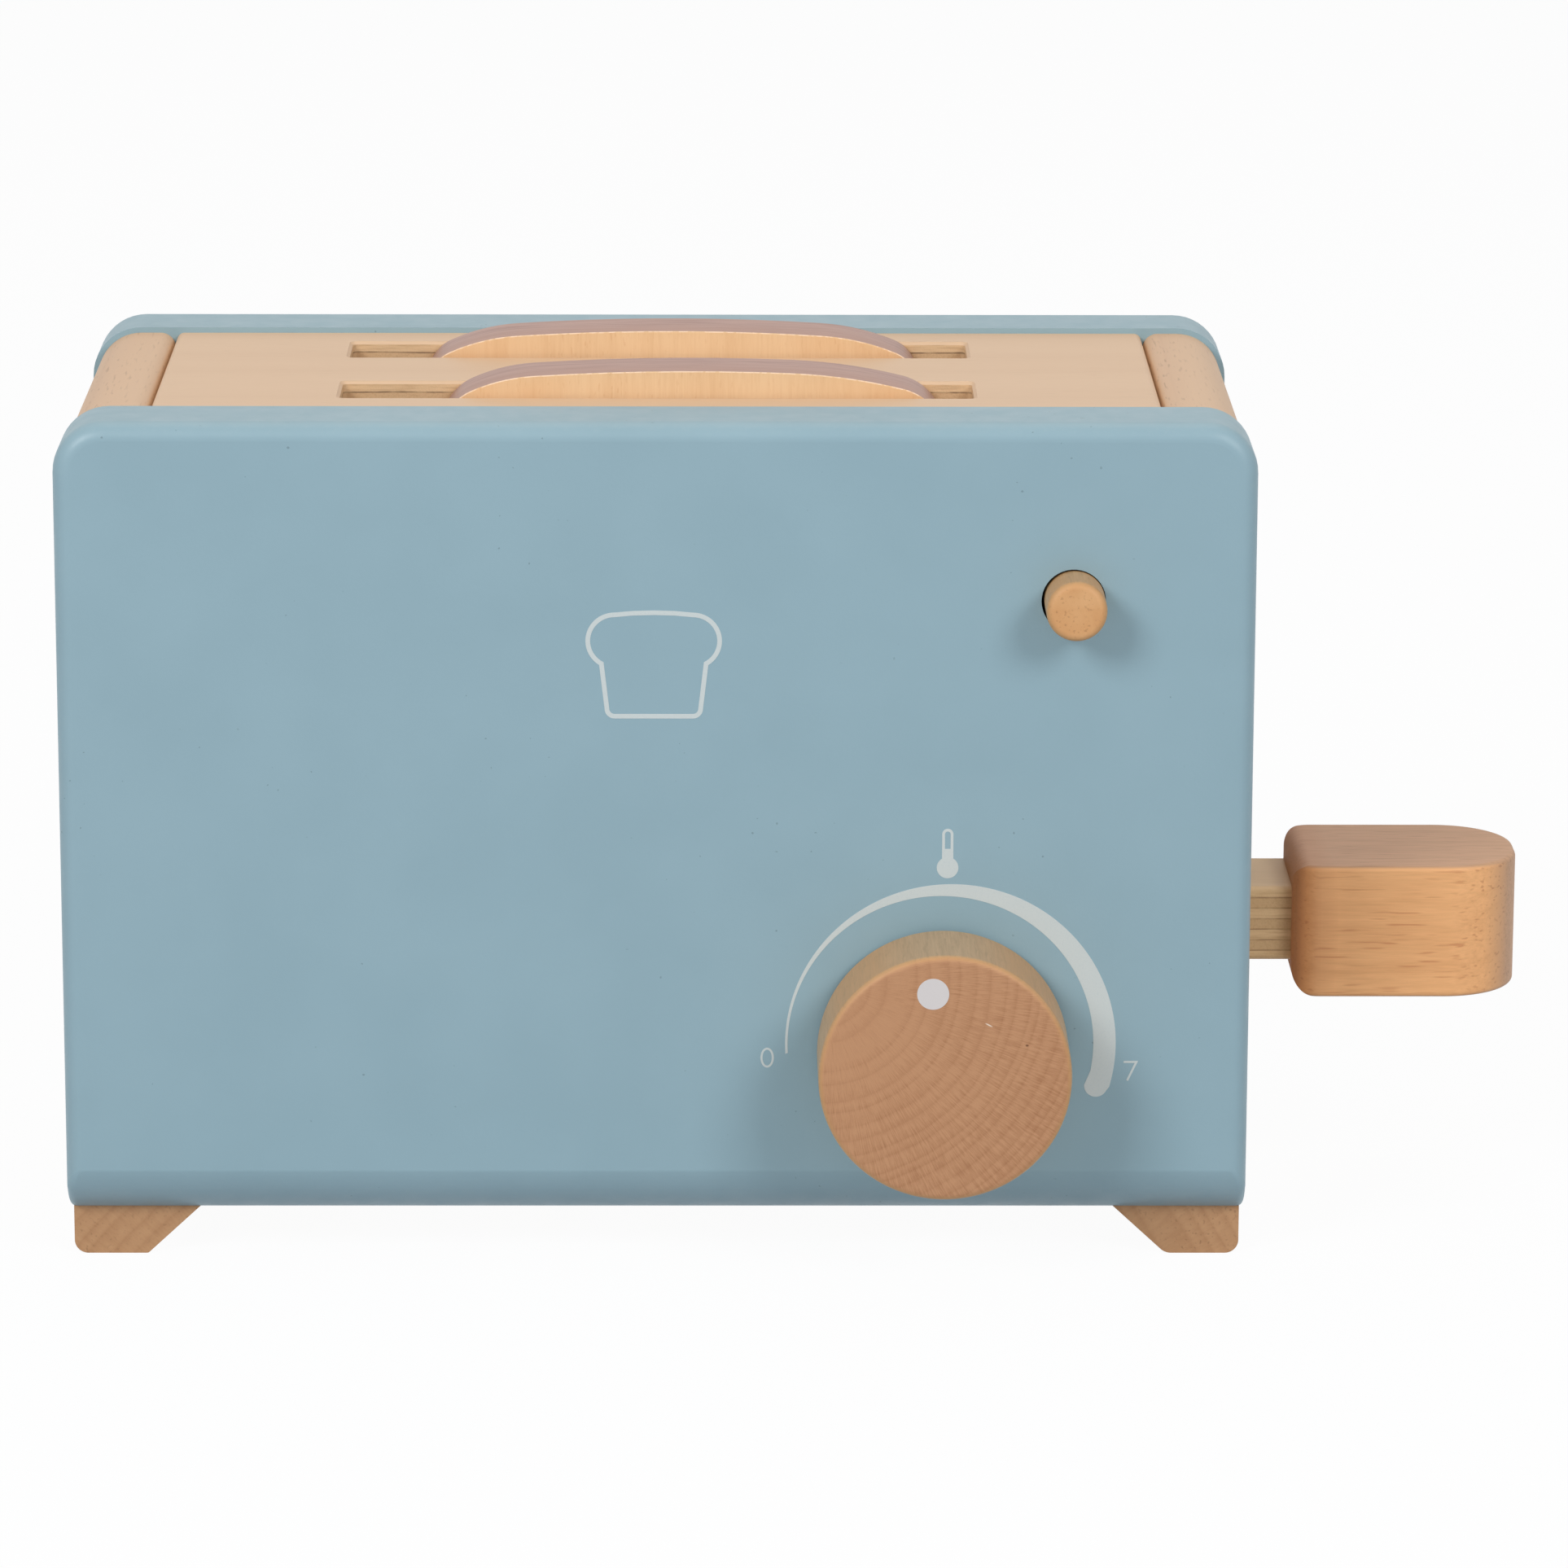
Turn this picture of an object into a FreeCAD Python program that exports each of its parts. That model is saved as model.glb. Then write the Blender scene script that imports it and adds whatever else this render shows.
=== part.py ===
import FreeCAD, Part
import math
import os
import re
import Sketcher

# A wooden toy toaster: two painted boards hold a beech and plywood case between them. A plywood
# carriage slides on two steel rods inside it and carries two wooden slices of toast. Pushing the
# lever down squeezes the lift springs until a magnet holds the carriage. The button rocks the
# magnet away, and the toast pops up.
#
# Lengths are in millimetres. The case is drawn with X across it, Y from its front face to the back
# and Z up from the floor. Every piece is then moved by the same origin_across and origin_back, so
# that the origin lies on the floor under the middle of the whole toaster, lever and dial included.

SIZES = [
    # the case
    ("case_width", 190, "painted board, side to side"),
    ("plate_height", 130, "painted board, bottom to top"),
    ("plate_thickness", 15, "painted board"),
    ("case_gap", 69, "space between the painted boards"),
    ("plate_corner", 8.2, "radius of a board's top corners"),
    ("plate_round", 2.8, "round along a board's outer top and side edges"),
    ("foot_curve", 12, "radius of a board's curved outer bottom edge"),
    ("foot_curve_up", 7.8, "where that curve starts, above the board's bottom"),
    ("foot_back", 6.5, "where it ends, behind the board's outer face"),
    ("foot_end_round", 1.2, "round on that curve's two ends"),
    ("board_drop", 0.9, "wood set back from the painted boards' outline"),
    ("block_thickness", 13, "beech side block"),
    ("block_edge", 2.5, "round on the side block's inner top edge"),
    ("board_thickness", 9, "top and base board"),
    ("board_seam", 0.3, "gap between top board and side block"),
    ("board_edge", 1.2, "round on the top board's ends"),
    ("foot_height", 8, "runner under the case"),
    ("foot_top", 20.5, "runner's width at its top"),
    ("foot_bottom", 11.9, "runner's width at its bottom"),
    ("foot_inset", 0.7, "runner set in from the board's side"),
    ("left_foot_outer_round", 2.2, "round on the left runner's outer bottom edge"),
    ("left_foot_inner_round", 0.6, "round on the left runner's inner bottom edge"),
    ("right_foot_outer_round", 2.2, "round on the right runner's outer bottom edge"),
    ("right_foot_inner_round", 2.5, "round on the right runner's inner bottom edge"),
    # toast slots and toast
    ("slot_length", 102, "toast slot, along the top"),
    ("slot_width", 14, "toast slot, front to back"),
    ("slot_round", 0.9, "slot's corner radius"),
    ("slot_pitch", 35.1, "from one slot's middle to the other's"),
    ("slot_back", 1.9, "slots' shared middle behind the case's middle"),
    ("slot_break", 0.5, "bevel round a slot's mouth"),
    ("toast_width", 81.6, "slice of toast, across its shoulders"),
    ("toast_waist", 76, "slice of toast, across its lower part"),
    ("toast_height", 90.6, "slice of toast, bottom to crown"),
    ("toast_thickness", 12, "slice of toast"),
    ("front_aside", 5.65, "front slice's middle from the case's middle"),
    ("rear_aside", 2.2, "rear slice's middle from the case's middle"),
    ("toast_forward", 0.35, "front slice in front of its slot's middle"),
    ("toast_crown", 400, "radius of the slice's top edge"),
    ("front_left_crown", 25.6, "front slice's left end: where the top edge ends, from its middle"),
    ("front_left_haunch", 28.8, "front slice's left end: radius beside the top edge"),
    ("front_left_end", 35.5, "front slice's left end: where that radius ends"),
    ("front_right_crown", 16, "front slice's right end, as above"),
    ("front_right_haunch", 90, "front slice's right end, as above"),
    ("front_right_end", 34, "front slice's right end, as above"),
    ("rear_left_crown", 25.6, "rear slice's left end, as above"),
    ("rear_left_haunch", 31.8, "rear slice's left end, as above"),
    ("rear_left_end", 36.7, "rear slice's left end, as above"),
    ("rear_right_crown", 24.7, "rear slice's right end, as above"),
    ("rear_right_haunch", 38, "rear slice's right end, as above"),
    ("rear_right_end", 37, "rear slice's right end, as above"),
    ("waist_low", 52, "top of the slice's lower part"),
    ("waist_high", 60, "bottom of the slice's shoulders"),
    ("waist_round", 8, "radius above and below the waist's slope"),
    ("toast_foot", 7, "radius of the slice's bottom corners"),
    ("toast_break", 0.15, "bevel round the slice's faces"),
    # carriage and lever
    ("ply_thickness", 12.5, "carriage board"),
    ("carriage_bottom", 40.2, "carriage board's underside, lever down"),
    ("carriage_travel", 34, "how far the lever moves"),
    ("carriage_half_width", 53.5, "carriage under the toast"),
    ("carriage_depth", 56.5, "carriage, front to back"),
    ("neck_end", 73.5, "where the carriage's neck becomes its arm"),
    ("neck_depth", 33, "neck, front to back"),
    ("arm_width", 20, "arm, front to back"),
    ("arm_edge", 1, "round along the arm's long edges"),
    ("tenon_length", 10, "arm's end inside the handle"),
    ("tenon_width", 12, "arm's end inside the handle"),
    ("tenon_height", 8.5, "arm's end inside the handle"),
    ("groove_depth", 2, "groove that a slice stands in"),
    ("groove_play", 0.7, "space round a slice in its groove"),
    ("arm_play", 0.75, "space round the arm in its slot"),
    ("handle_start", 104.5, "lever handle's inner face"),
    ("handle_length", 37.4, "lever handle, across"),
    ("handle_depth", 29.2, "lever handle, front to back"),
    ("handle_height", 22.2, "lever handle"),
    ("handle_forward", 0.9, "handle's middle in front of the arm's middle"),
    ("handle_heel_low", 4, "handle's bottom corner radius beside the case"),
    ("handle_heel_high", 3, "handle's top corner radius beside the case"),
    ("handle_inner_corner", 4.5, "handle's upright corner radius beside the case"),
    ("handle_outer_corner", 12.5, "handle's upright corner radius at its free end"),
    ("handle_edge", 0.9, "round along the handle's other edges"),
    ("handle_pin_radius", 2, "dowel through handle and tenon"),
    ("handle_pin_length", 18, "dowel through handle and tenon"),
    ("rod_radius", 3, "guide rod"),
    ("rod_at", 38, "guide rod from the case's middle"),
    ("rod_play", 0.08, "running space round a guide rod"),
    ("rod_socket", 6, "depth of the rod's sockets"),
    ("spring_radius", 5.6, "lift spring, to its wire's middle"),
    ("spring_wire", 1.3, "lift spring's wire"),
    ("spring_turns", 6, "lift spring"),
    # button and magnet catch
    ("button_across", 66, "button's hole from the case's middle"),
    ("button_up", 109.7, "button's hole above the floor"),
    ("button_hole_radius", 5.1, "hole in the front board"),
    ("button_radius", 4.8, "button dowel"),
    ("button_lean", 0.17, "button dowel off its hole's middle, towards the case's side"),
    ("button_out", 8.5, "button in front of the board"),
    ("button_in", 21.6, "dowel's inner end behind the front face"),
    ("button_edge", 1.2, "round on the button's end"),
    ("collar_radius", 8, "stop ring on a dowel"),
    ("collar_thickness", 3.5, "stop ring on a dowel"),
    ("collar_play", 0.2, "space between stop ring and board"),
    ("latch_middle", 26.5, "release lever's pivot behind the front face"),
    ("latch_pivot_up", 76.5, "release lever's pivot above the floor"),
    ("latch_width", 12, "release lever, across"),
    ("latch_thickness", 7, "release lever's stem"),
    ("latch_bulb", 4.6, "radius of the release lever's top"),
    ("latch_boss", 4.5, "radius round the pivot"),
    ("latch_foot_up", 34.5, "release lever's lower end above the floor"),
    ("latch_toe_end", 45, "end of the toe behind the front face"),
    ("latch_gap", 0.3, "space between magnet and strike plate"),
    ("pin_radius", 1.5, "pivot pin"),
    ("pin_play", 0.05, "running space round the pivot pin"),
    ("bracket_width", 22, "pivot bracket, across"),
    ("bracket_height", 18, "pivot bracket"),
    ("bracket_depth", 16.5, "pivot bracket, front to back"),
    ("bracket_web", 3.5, "wall that joins the bracket's cheeks"),
    ("bracket_slot", 12.6, "space between the bracket's cheeks"),
    ("magnet_radius", 4.5, "catch magnet"),
    ("magnet_thickness", 2.5, "catch magnet"),
    ("magnet_at", 38.5, "magnet's middle behind the front face"),
    ("strike_length", 20, "steel strike plate, front to back"),
    ("strike_width", 16, "steel strike plate, across"),
    ("strike_thickness", 1, "steel strike plate"),
    ("strike_corner", 1.5, "steel strike plate's corner radius"),
    ("strike_start", 33.4, "strike plate's front edge"),
    ("return_spring_up", 50.5, "return spring above the floor"),
    ("return_spring_radius", 3, "return spring, to its wire's middle"),
    ("return_spring_wire", 0.7, "return spring's wire"),
    ("return_spring_turns", 3, "return spring"),
    # dial
    ("dial_across", 45.8, "dial from the case's middle"),
    ("dial_up", 36.1, "dial above the floor"),
    ("dial_radius", 20.1, "dial knob"),
    ("dial_thickness", 16.7, "dial knob"),
    ("dial_edge", 1.1, "round on the dial knob's edges"),
    ("dial_washer", 0.5, "washer between knob and board"),
    ("shaft_radius", 4, "dial's dowel"),
    ("shaft_play", 0.08, "running space round the dial's dowel"),
    ("shaft_socket", 9, "depth of the dowel's hole in the knob"),
    ("shaft_in", 21.5, "dowel's inner end behind the front face"),
    # fastenings
    ("peg_radius", 3, "dowel that joins board and side block"),
    ("peg_in_plate", 9, "dowel's length in the board"),
    ("peg_in_block", 15, "dowel's length in the side block"),
    ("peg_low", 30.5, "lower dowel above the floor"),
    ("peg_high", 112.5, "upper dowel above the floor"),
    ("screw_radius", 1.75, "wood screw's shank"),
    ("screw_head", 3.5, "wood screw's head radius"),
    ("screw_sink", 0.4, "how far the head lies inside the runner"),
    ("screw_length", 20, "wood screw"),
    ("screw_from_end", 16.5, "screw from the runner's end"),
    ("strike_screw_length", 9, "screw in the strike plate"),
    ("strike_screw_radius", 1.2, "screw in the strike plate"),
    # where the origin lies in the case's own coordinates
    ("origin_across", 23.45, "from the case's middle towards the lever"),
    ("origin_back", 40.9, "behind the front face"),
]

doc = FreeCAD.newDocument("toy_toaster")
sheet = doc.addObject("Spreadsheet::Sheet", "Sizes")
for row, (alias, value, meaning) in enumerate(SIZES, start=1):
    sheet.set(f"A{row}", meaning)
    sheet.set(f"B{row}", str(value))
    sheet.setAlias(f"B{row}", alias)
doc.recompute()

ALIASES = {alias for alias, _, _ in SIZES}
pieces = []

# Places that several pieces share, as formulas of the sheet's cells.
BLOCK_OUT = "(case_width / 2 - board_drop)"
BLOCK_IN = f"({BLOCK_OUT} - block_thickness)"
BACK = "(plate_thickness * 2 + case_gap)"
MIDDLE = "(plate_thickness + case_gap / 2)"
SLOTS_MIDDLE = "(case_gap / 2 + slot_back)"
WOOD_TOP = "(foot_height + plate_height - board_drop)"
WOOD_BOTTOM = "(foot_height + board_drop)"
CARRIAGE_TOP = "(carriage_bottom + ply_thickness)"
HANDLE_END = "(handle_start + handle_length)"
ARM_MIDDLE_UP = "(carriage_bottom + ply_thickness / 2)"
BLOCK_MIDDLE = f"({BLOCK_IN} + block_thickness / 2)"
TOE_TOP = "(carriage_bottom - strike_thickness - latch_gap)"
FRONT_TOAST = ("front_aside", "(slot_back - slot_pitch / 2 - toast_forward)")
REAR_TOAST = ("rear_aside", "(slot_back + slot_pitch / 2)")


def bound(formula):
    """The formula with each size's name pointing at its cell."""
    words = re.compile(r"[a-z][a-z_]*")
    return words.sub(lambda m: "Sizes." + m.group() if m.group() in ALIASES else m.group(), str(formula))


def number(formula):
    """What a formula of the sheet's cells comes to."""
    result = sheet.evalExpression(bound(formula))
    return float(getattr(result, "Value", result))


def bind(thing, prop, formula):
    thing.setExpression(prop, bound(formula))


def place(piece, across="0", back="0", up="0"):
    """Put a piece into the toaster's own frame."""
    bind(piece, "Placement.Base.x", f"{across} - origin_across")
    bind(piece, "Placement.Base.y", f"{back} - origin_back")
    bind(piece, "Placement.Base.z", up)


def new_body(label):
    body = doc.addObject("PartDesign::Body", label)
    body.Label = label
    pieces.append(body)
    return body


def new_sketch(body, name, plane, offset="0"):
    """A sketch on one of the body's own origin planes, moved along the plane's normal."""
    sketch = body.newObject("Sketcher::SketchObject", f"{body.Name}_{name}")
    support = next(f for f in body.Origin.OriginFeatures if f.Role == plane)
    sketch.AttachmentSupport = (support, [""])
    sketch.MapMode = "FlatFace"
    if offset != "0":
        bind(sketch, "AttachmentOffset.Base.z", offset)
    return sketch


def pin_down(sketch, element, point, across, up):
    """Fix a point of a sketch at two formulas."""
    for kind, axis, formula in (("DistanceX", -2, across), ("DistanceY", -1, up)):
        value = number(formula)
        if abs(value) < 1e-9:
            sketch.addConstraint(Sketcher.Constraint("PointOnObject", element, point, axis))
            continue
        index = sketch.addConstraint(Sketcher.Constraint(kind, -1, 1, element, point, value))
        bind(sketch, f"Constraints[{index}]", formula)


def outline(sketch, corners):
    """A closed outline, counter-clockwise. A corner is (across, up), or (across, up, radius) where
    an arc of that radius leaves it: positive bulges outwards, negative inwards."""
    first = sketch.GeometryCount
    spots = [FreeCAD.Vector(number(c[0]), number(c[1]), 0) for c in corners]
    starts = []
    ends = []
    for index, corner in enumerate(corners):
        here = spots[index]
        there = spots[(index + 1) % len(spots)]
        if len(corner) == 2:
            sketch.addGeometry(Part.LineSegment(here, there))
            starts.append(1)
            ends.append(2)
            continue
        radius = number(corner[2])
        chord = there - here
        side = FreeCAD.Vector(-chord.y, chord.x, 0).normalize() * math.copysign(1, radius)
        reach = math.sqrt(radius ** 2 - (chord.Length / 2) ** 2)
        centre = (here + there) * 0.5 + side * reach
        angles = [math.atan2(p.y - centre.y, p.x - centre.x) for p in (here, there)]
        if radius < 0:
            angles.reverse()
        if angles[1] < angles[0]:
            angles[1] += 2 * math.pi
        circle = Part.Circle(centre, FreeCAD.Vector(0, 0, 1), abs(radius))
        sketch.addGeometry(Part.ArcOfCircle(circle, *angles))
        starts.append(1 if radius > 0 else 2)
        ends.append(2 if radius > 0 else 1)
    count = len(corners)
    for index in range(count):
        after = (index + 1) % count
        sketch.addConstraint(
            Sketcher.Constraint("Coincident", first + index, ends[index], first + after, starts[after])
        )
    for index, corner in enumerate(corners):
        pin_down(sketch, first + index, starts[index], corner[0], corner[1])
        if len(corner) == 3:
            size = abs(number(corner[2]))
            item = sketch.addConstraint(Sketcher.Constraint("Radius", first + index, size))
            bind(sketch, f"Constraints[{item}]", f"abs({corner[2]})")


def box_corners(left, right, low, high):
    return [(left, low), (right, low), (right, high), (left, high)]


def ring(sketch, across, up, radius):
    """A circle in a sketch."""
    spot = FreeCAD.Vector(number(across), number(up), 0)
    index = sketch.addGeometry(Part.Circle(spot, FreeCAD.Vector(0, 0, 1), number(radius)))
    pin_down(sketch, index, 3, across, up)
    item = sketch.addConstraint(Sketcher.Constraint("Radius", index, number(radius)))
    bind(sketch, f"Constraints[{item}]", radius)


def pad(body, sketch, length):
    """Thicken a sketch: towards +Y from an XZ plane, +Z from an XY plane and +X from a YZ plane."""
    feature = body.newObject("PartDesign::Pad", f"{sketch.Name}_pad")
    feature.Profile = sketch
    bind(feature, "Length", length)
    feature.Reversed = sketch.AttachmentSupport[0][0].Role == "XZ_Plane"
    doc.recompute()
    return feature


def cut(body, sketch, depth=None):
    """Cut a sketch out of the body, right through where no depth is given."""
    before = body.Shape.Volume
    feature = body.newObject("PartDesign::Pocket", f"{sketch.Name}_cut")
    feature.Profile = sketch
    if depth is None:
        feature.Type = "ThroughAll"
        feature.Midplane = True
    else:
        bind(feature, "Length", depth)
    feature.Reversed = sketch.AttachmentSupport[0][0].Role != "XZ_Plane"
    doc.recompute()
    if body.Shape.Volume > before - 1e-3:
        feature.Reversed = not feature.Reversed
        doc.recompute()
    if body.Shape.Volume > before - 1e-3:
        raise RuntimeError(f"{sketch.Name} cuts nothing")
    return feature


def dress(body, kind, prop, size, wanted):
    """Round or bevel the edges for which wanted(edge) holds."""
    base = body.Tip
    names = [f"Edge{n}" for n, edge in enumerate(base.Shape.Edges, start=1) if wanted(edge)]
    if not names:
        raise RuntimeError(f"{body.Name} has no such edge for its {kind}")
    feature = body.newObject(f"PartDesign::{kind}", f"{body.Name}_{kind.lower()}")
    feature.Base = (base, names)
    bind(feature, prop, size)
    doc.recompute()
    return feature


def fillet(body, radius, wanted):
    return dress(body, "Fillet", "Radius", radius, wanted)


def bevel(body, size, wanted):
    return dress(body, "Chamfer", "Size", size, wanted)


def along(edge, axis):
    """Whether an edge is straight and runs along X, Y or Z."""
    ends = [v.Point for v in edge.Vertexes]
    if len(ends) != 2 or not isinstance(edge.Curve, (Part.Line, Part.LineSegment)):
        return False
    run = ends[1] - ends[0]
    return abs(getattr(run, axis)) > 0.999 * run.Length


def near(value, formula, slack=0.01):
    return abs(value - number(formula)) < slack


def prism(label, plane, corners, length, **where):
    """A body made by thickening one outline."""
    body = new_body(label)
    sketch = new_sketch(body, "outline", plane)
    outline(sketch, corners)
    pad(body, sketch, length)
    place(body, **where)
    return body


def rod(label, plane, radius, length, **where):
    """A body made by thickening a circle round its own origin."""
    body = new_body(label)
    sketch = new_sketch(body, "outline", plane)
    ring(sketch, "0", "0", radius)
    pad(body, sketch, length)
    place(body, **where)
    return body


def drill(body, name, plane, offset, holes, radius, depth=None):
    """Round holes of one radius and depth."""
    sketch = new_sketch(body, name, plane, offset)
    for across, up in holes:
        ring(sketch, across, up, radius)
    return cut(body, sketch, depth)


# ---- the two painted boards ----------------------------------------------------------------------


def painted_board(label):
    """A board with rounded top corners. Its outer face, at local Y 0, is rounded along the top and
    the sides and curves inwards at the bottom, from a crease."""
    half = "case_width / 2"
    board = prism(label, "XZ_Plane", box_corners(f"-{half}", half, "0", "plate_height"), "plate_thickness")
    fillet(board, "plate_corner", lambda e: along(e, "y") and near(e.CenterOfMass.z, "plate_height"))
    fillet(
        board,
        "plate_round",
        lambda e: along(e, "x") and near(e.CenterOfMass.y, "0") and near(e.CenterOfMass.z, "plate_height"),
    )
    curve = new_sketch(board, "foot_curve", "YZ_Plane")
    outline(
        curve,
        [
            ("-plate_thickness", "-plate_thickness"),
            ("foot_back", "-plate_thickness"),
            ("foot_back", "0", "-foot_curve"),
            ("0", "foot_curve_up"),
            ("-plate_thickness", "foot_curve_up"),
        ],
    )
    cut(board, curve)
    fillet(
        board,
        "foot_end_round",
        lambda e: isinstance(e.Curve, Part.Circle)
        and near(abs(e.CenterOfMass.x), half)
        and e.CenterOfMass.z < number("foot_curve_up"),
    )
    return board


def peg_spots():
    """Where the dowels join a painted board to the side blocks, in the board's own frame."""
    return [
        (f"{side} * {BLOCK_MIDDLE}", f"{up} - foot_height")
        for side in ("-1", "1")
        for up in ("peg_low", "peg_high")
    ]


front_plate = painted_board("front_plate")
place(front_plate, up="foot_height")
drill(front_plate, "peg_holes", "XZ_Plane", "-plate_thickness", peg_spots(), "peg_radius", "peg_in_plate")
drill(
    front_plate,
    "button_hole",
    "XZ_Plane",
    "0",
    [("button_across", "button_up - foot_height")],
    "button_hole_radius",
)
drill(
    front_plate,
    "dial_hole",
    "XZ_Plane",
    "0",
    [("dial_across", "dial_up - foot_height")],
    "shaft_radius + shaft_play",
)

# The rear board is the front board turned about, with no holes for button and dial.
rear_plate = painted_board("rear_plate")
drill(rear_plate, "peg_holes", "XZ_Plane", "-plate_thickness", peg_spots(), "peg_radius", "peg_in_plate")
rear_plate.Placement.Rotation = FreeCAD.Rotation(FreeCAD.Vector(0, 0, 1), 180)
place(rear_plate, back=BACK, up="foot_height")

# ---- side blocks ---------------------------------------------------------------------------------


def side_block(label, side):
    """A beech block between the painted boards; side is -1 on the left and 1 on the right."""
    outer = f"{side} * {BLOCK_OUT}"
    inner = f"{side} * {BLOCK_IN}"
    left, right = (outer, inner) if side < 0 else (inner, outer)
    top = f"{WOOD_TOP} - foot_height"
    block = prism(
        label,
        "XZ_Plane",
        box_corners(left, right, "0", top),
        "case_gap",
        back="plate_thickness",
        up="foot_height",
    )
    fillet(
        block,
        "plate_corner - board_drop",
        lambda e: along(e, "y") and near(e.CenterOfMass.z, top) and near(e.CenterOfMass.x, outer),
    )
    fillet(
        block,
        "block_edge",
        lambda e: along(e, "y") and near(e.CenterOfMass.z, top) and near(e.CenterOfMass.x, inner),
    )
    spots = [(f"{side} * {BLOCK_MIDDLE}", f"{up} - foot_height") for up in ("peg_low", "peg_high")]
    drill(block, "front_peg_holes", "XZ_Plane", "0", spots, "peg_radius", "peg_in_block")
    drill(block, "rear_peg_holes", "XZ_Plane", "-case_gap", spots, "peg_radius", "peg_in_block")
    screws = [
        (f"{side} * {BLOCK_MIDDLE}", "foot_back + screw_from_end - plate_thickness"),
        (f"{side} * {BLOCK_MIDDLE}", "case_gap + plate_thickness - foot_back - screw_from_end"),
    ]
    depth = "screw_length + screw_sink - foot_height"
    drill(block, "screw_holes", "XY_Plane", "0", screws, "screw_radius", depth)
    return block


left_side_block = side_block("left_side_block", -1)
right_side_block = side_block("right_side_block", 1)

# The lever's arm runs up and down in a slot of the right block.
lever_slot = new_sketch(right_side_block, "lever_slot", "YZ_Plane")
outline(
    lever_slot,
    box_corners(
        "case_gap / 2 - arm_width / 2 - arm_play",
        "case_gap / 2 + arm_width / 2 + arm_play",
        "carriage_bottom - arm_play - foot_height",
        f"{CARRIAGE_TOP} + carriage_travel + arm_play - foot_height",
    ),
)
cut(right_side_block, lever_slot)

# ---- top and base boards -------------------------------------------------------------------------

top_board = prism(
    "top_board",
    "XY_Plane",
    box_corners(f"-{BLOCK_IN} + board_seam", f"{BLOCK_IN} - board_seam", "0", "case_gap"),
    "board_thickness",
    back="plate_thickness",
    up=f"{WOOD_TOP} - board_thickness",
)
slots = new_sketch(top_board, "toast_slots", "XY_Plane")
for side in ("-1", "1"):
    middle = f"{SLOTS_MIDDLE} + {side} * slot_pitch / 2"
    outline(
        slots,
        box_corners(
            "-slot_length / 2",
            "slot_length / 2",
            f"{middle} - slot_width / 2",
            f"{middle} + slot_width / 2",
        ),
    )
cut(top_board, slots)
fillet(top_board, "slot_round", lambda e: along(e, "z") and near(abs(e.CenterOfMass.x), "slot_length / 2"))


def round_slot_mouth(edge):
    box = edge.BoundBox
    inside = abs(edge.CenterOfMass.x) < number("slot_length / 2 + 1")
    within = 1 < edge.CenterOfMass.y < number("case_gap - 1")
    return inside and within and near(box.ZMin, "board_thickness") and near(box.ZMax, "board_thickness")


bevel(top_board, "slot_break", round_slot_mouth)
fillet(
    top_board,
    "board_edge",
    lambda e: along(e, "y")
    and near(e.CenterOfMass.z, "board_thickness")
    and near(abs(e.CenterOfMass.x), f"{BLOCK_IN} - board_seam"),
)
ROD_SPOTS = [("-rod_at", "case_gap / 2"), ("rod_at", "case_gap / 2")]
drill(top_board, "rod_sockets", "XY_Plane", "0", ROD_SPOTS, "rod_radius", "rod_socket")

base_board = prism(
    "base_board",
    "XY_Plane",
    box_corners(f"-{BLOCK_IN}", BLOCK_IN, "0", "case_gap"),
    "board_thickness",
    back="plate_thickness",
    up=WOOD_BOTTOM,
)
drill(base_board, "rod_sockets", "XY_Plane", "board_thickness", ROD_SPOTS, "rod_radius", "rod_socket")

# ---- runners -------------------------------------------------------------------------------------


def runner(label, side, outer_round, inner_round):
    """A strip under one side, with a sloped inner face. It joins the two boards' flat undersides."""
    outer = f"{side} * (case_width / 2 - foot_inset)"
    toe = f"{side} * (case_width / 2 - foot_inset - foot_bottom)"
    heel = f"{side} * (case_width / 2 - foot_inset - foot_top)"
    corners = [(outer, "0"), (toe, "0"), (heel, "foot_height"), (outer, "foot_height")]
    if side > 0:
        corners = [corners[1], corners[0], corners[3], corners[2]]
    length = f"{BACK} - 2 * foot_back"
    foot = prism(label, "XZ_Plane", corners, length, back="foot_back")
    for edge, radius in ((outer, outer_round), (toe, inner_round)):
        fillet(
            foot,
            radius,
            lambda e, edge=edge: along(e, "y")
            and near(e.CenterOfMass.z, "0")
            and near(e.CenterOfMass.x, edge),
        )
    spots = [
        (f"{side} * {BLOCK_MIDDLE}", "screw_from_end"),
        (f"{side} * {BLOCK_MIDDLE}", f"{length} - screw_from_end"),
    ]
    drill(foot, "screw_holes", "XY_Plane", "0", spots, "screw_radius")
    bevel(
        foot,
        "screw_head - screw_radius + screw_sink",
        lambda e: isinstance(e.Curve, Part.Circle)
        and near(e.CenterOfMass.z, "0")
        and near(e.Curve.Radius, "screw_radius"),
    )
    return foot


runner("left_foot", -1, "left_foot_outer_round", "left_foot_inner_round")
runner("right_foot", 1, "right_foot_outer_round", "right_foot_inner_round")

# ---- guide rods and springs ----------------------------------------------------------------------

ROD_START = f"{WOOD_BOTTOM} + board_thickness - rod_socket"
ROD_LENGTH = f"{WOOD_TOP} - board_thickness + rod_socket - ({ROD_START})"
for name, across in (("left_guide_rod", "-rod_at"), ("right_guide_rod", "rod_at")):
    rod(name, "XY_Plane", "rod_radius", ROD_LENGTH, across=across, back=MIDDLE, up=ROD_START)


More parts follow.
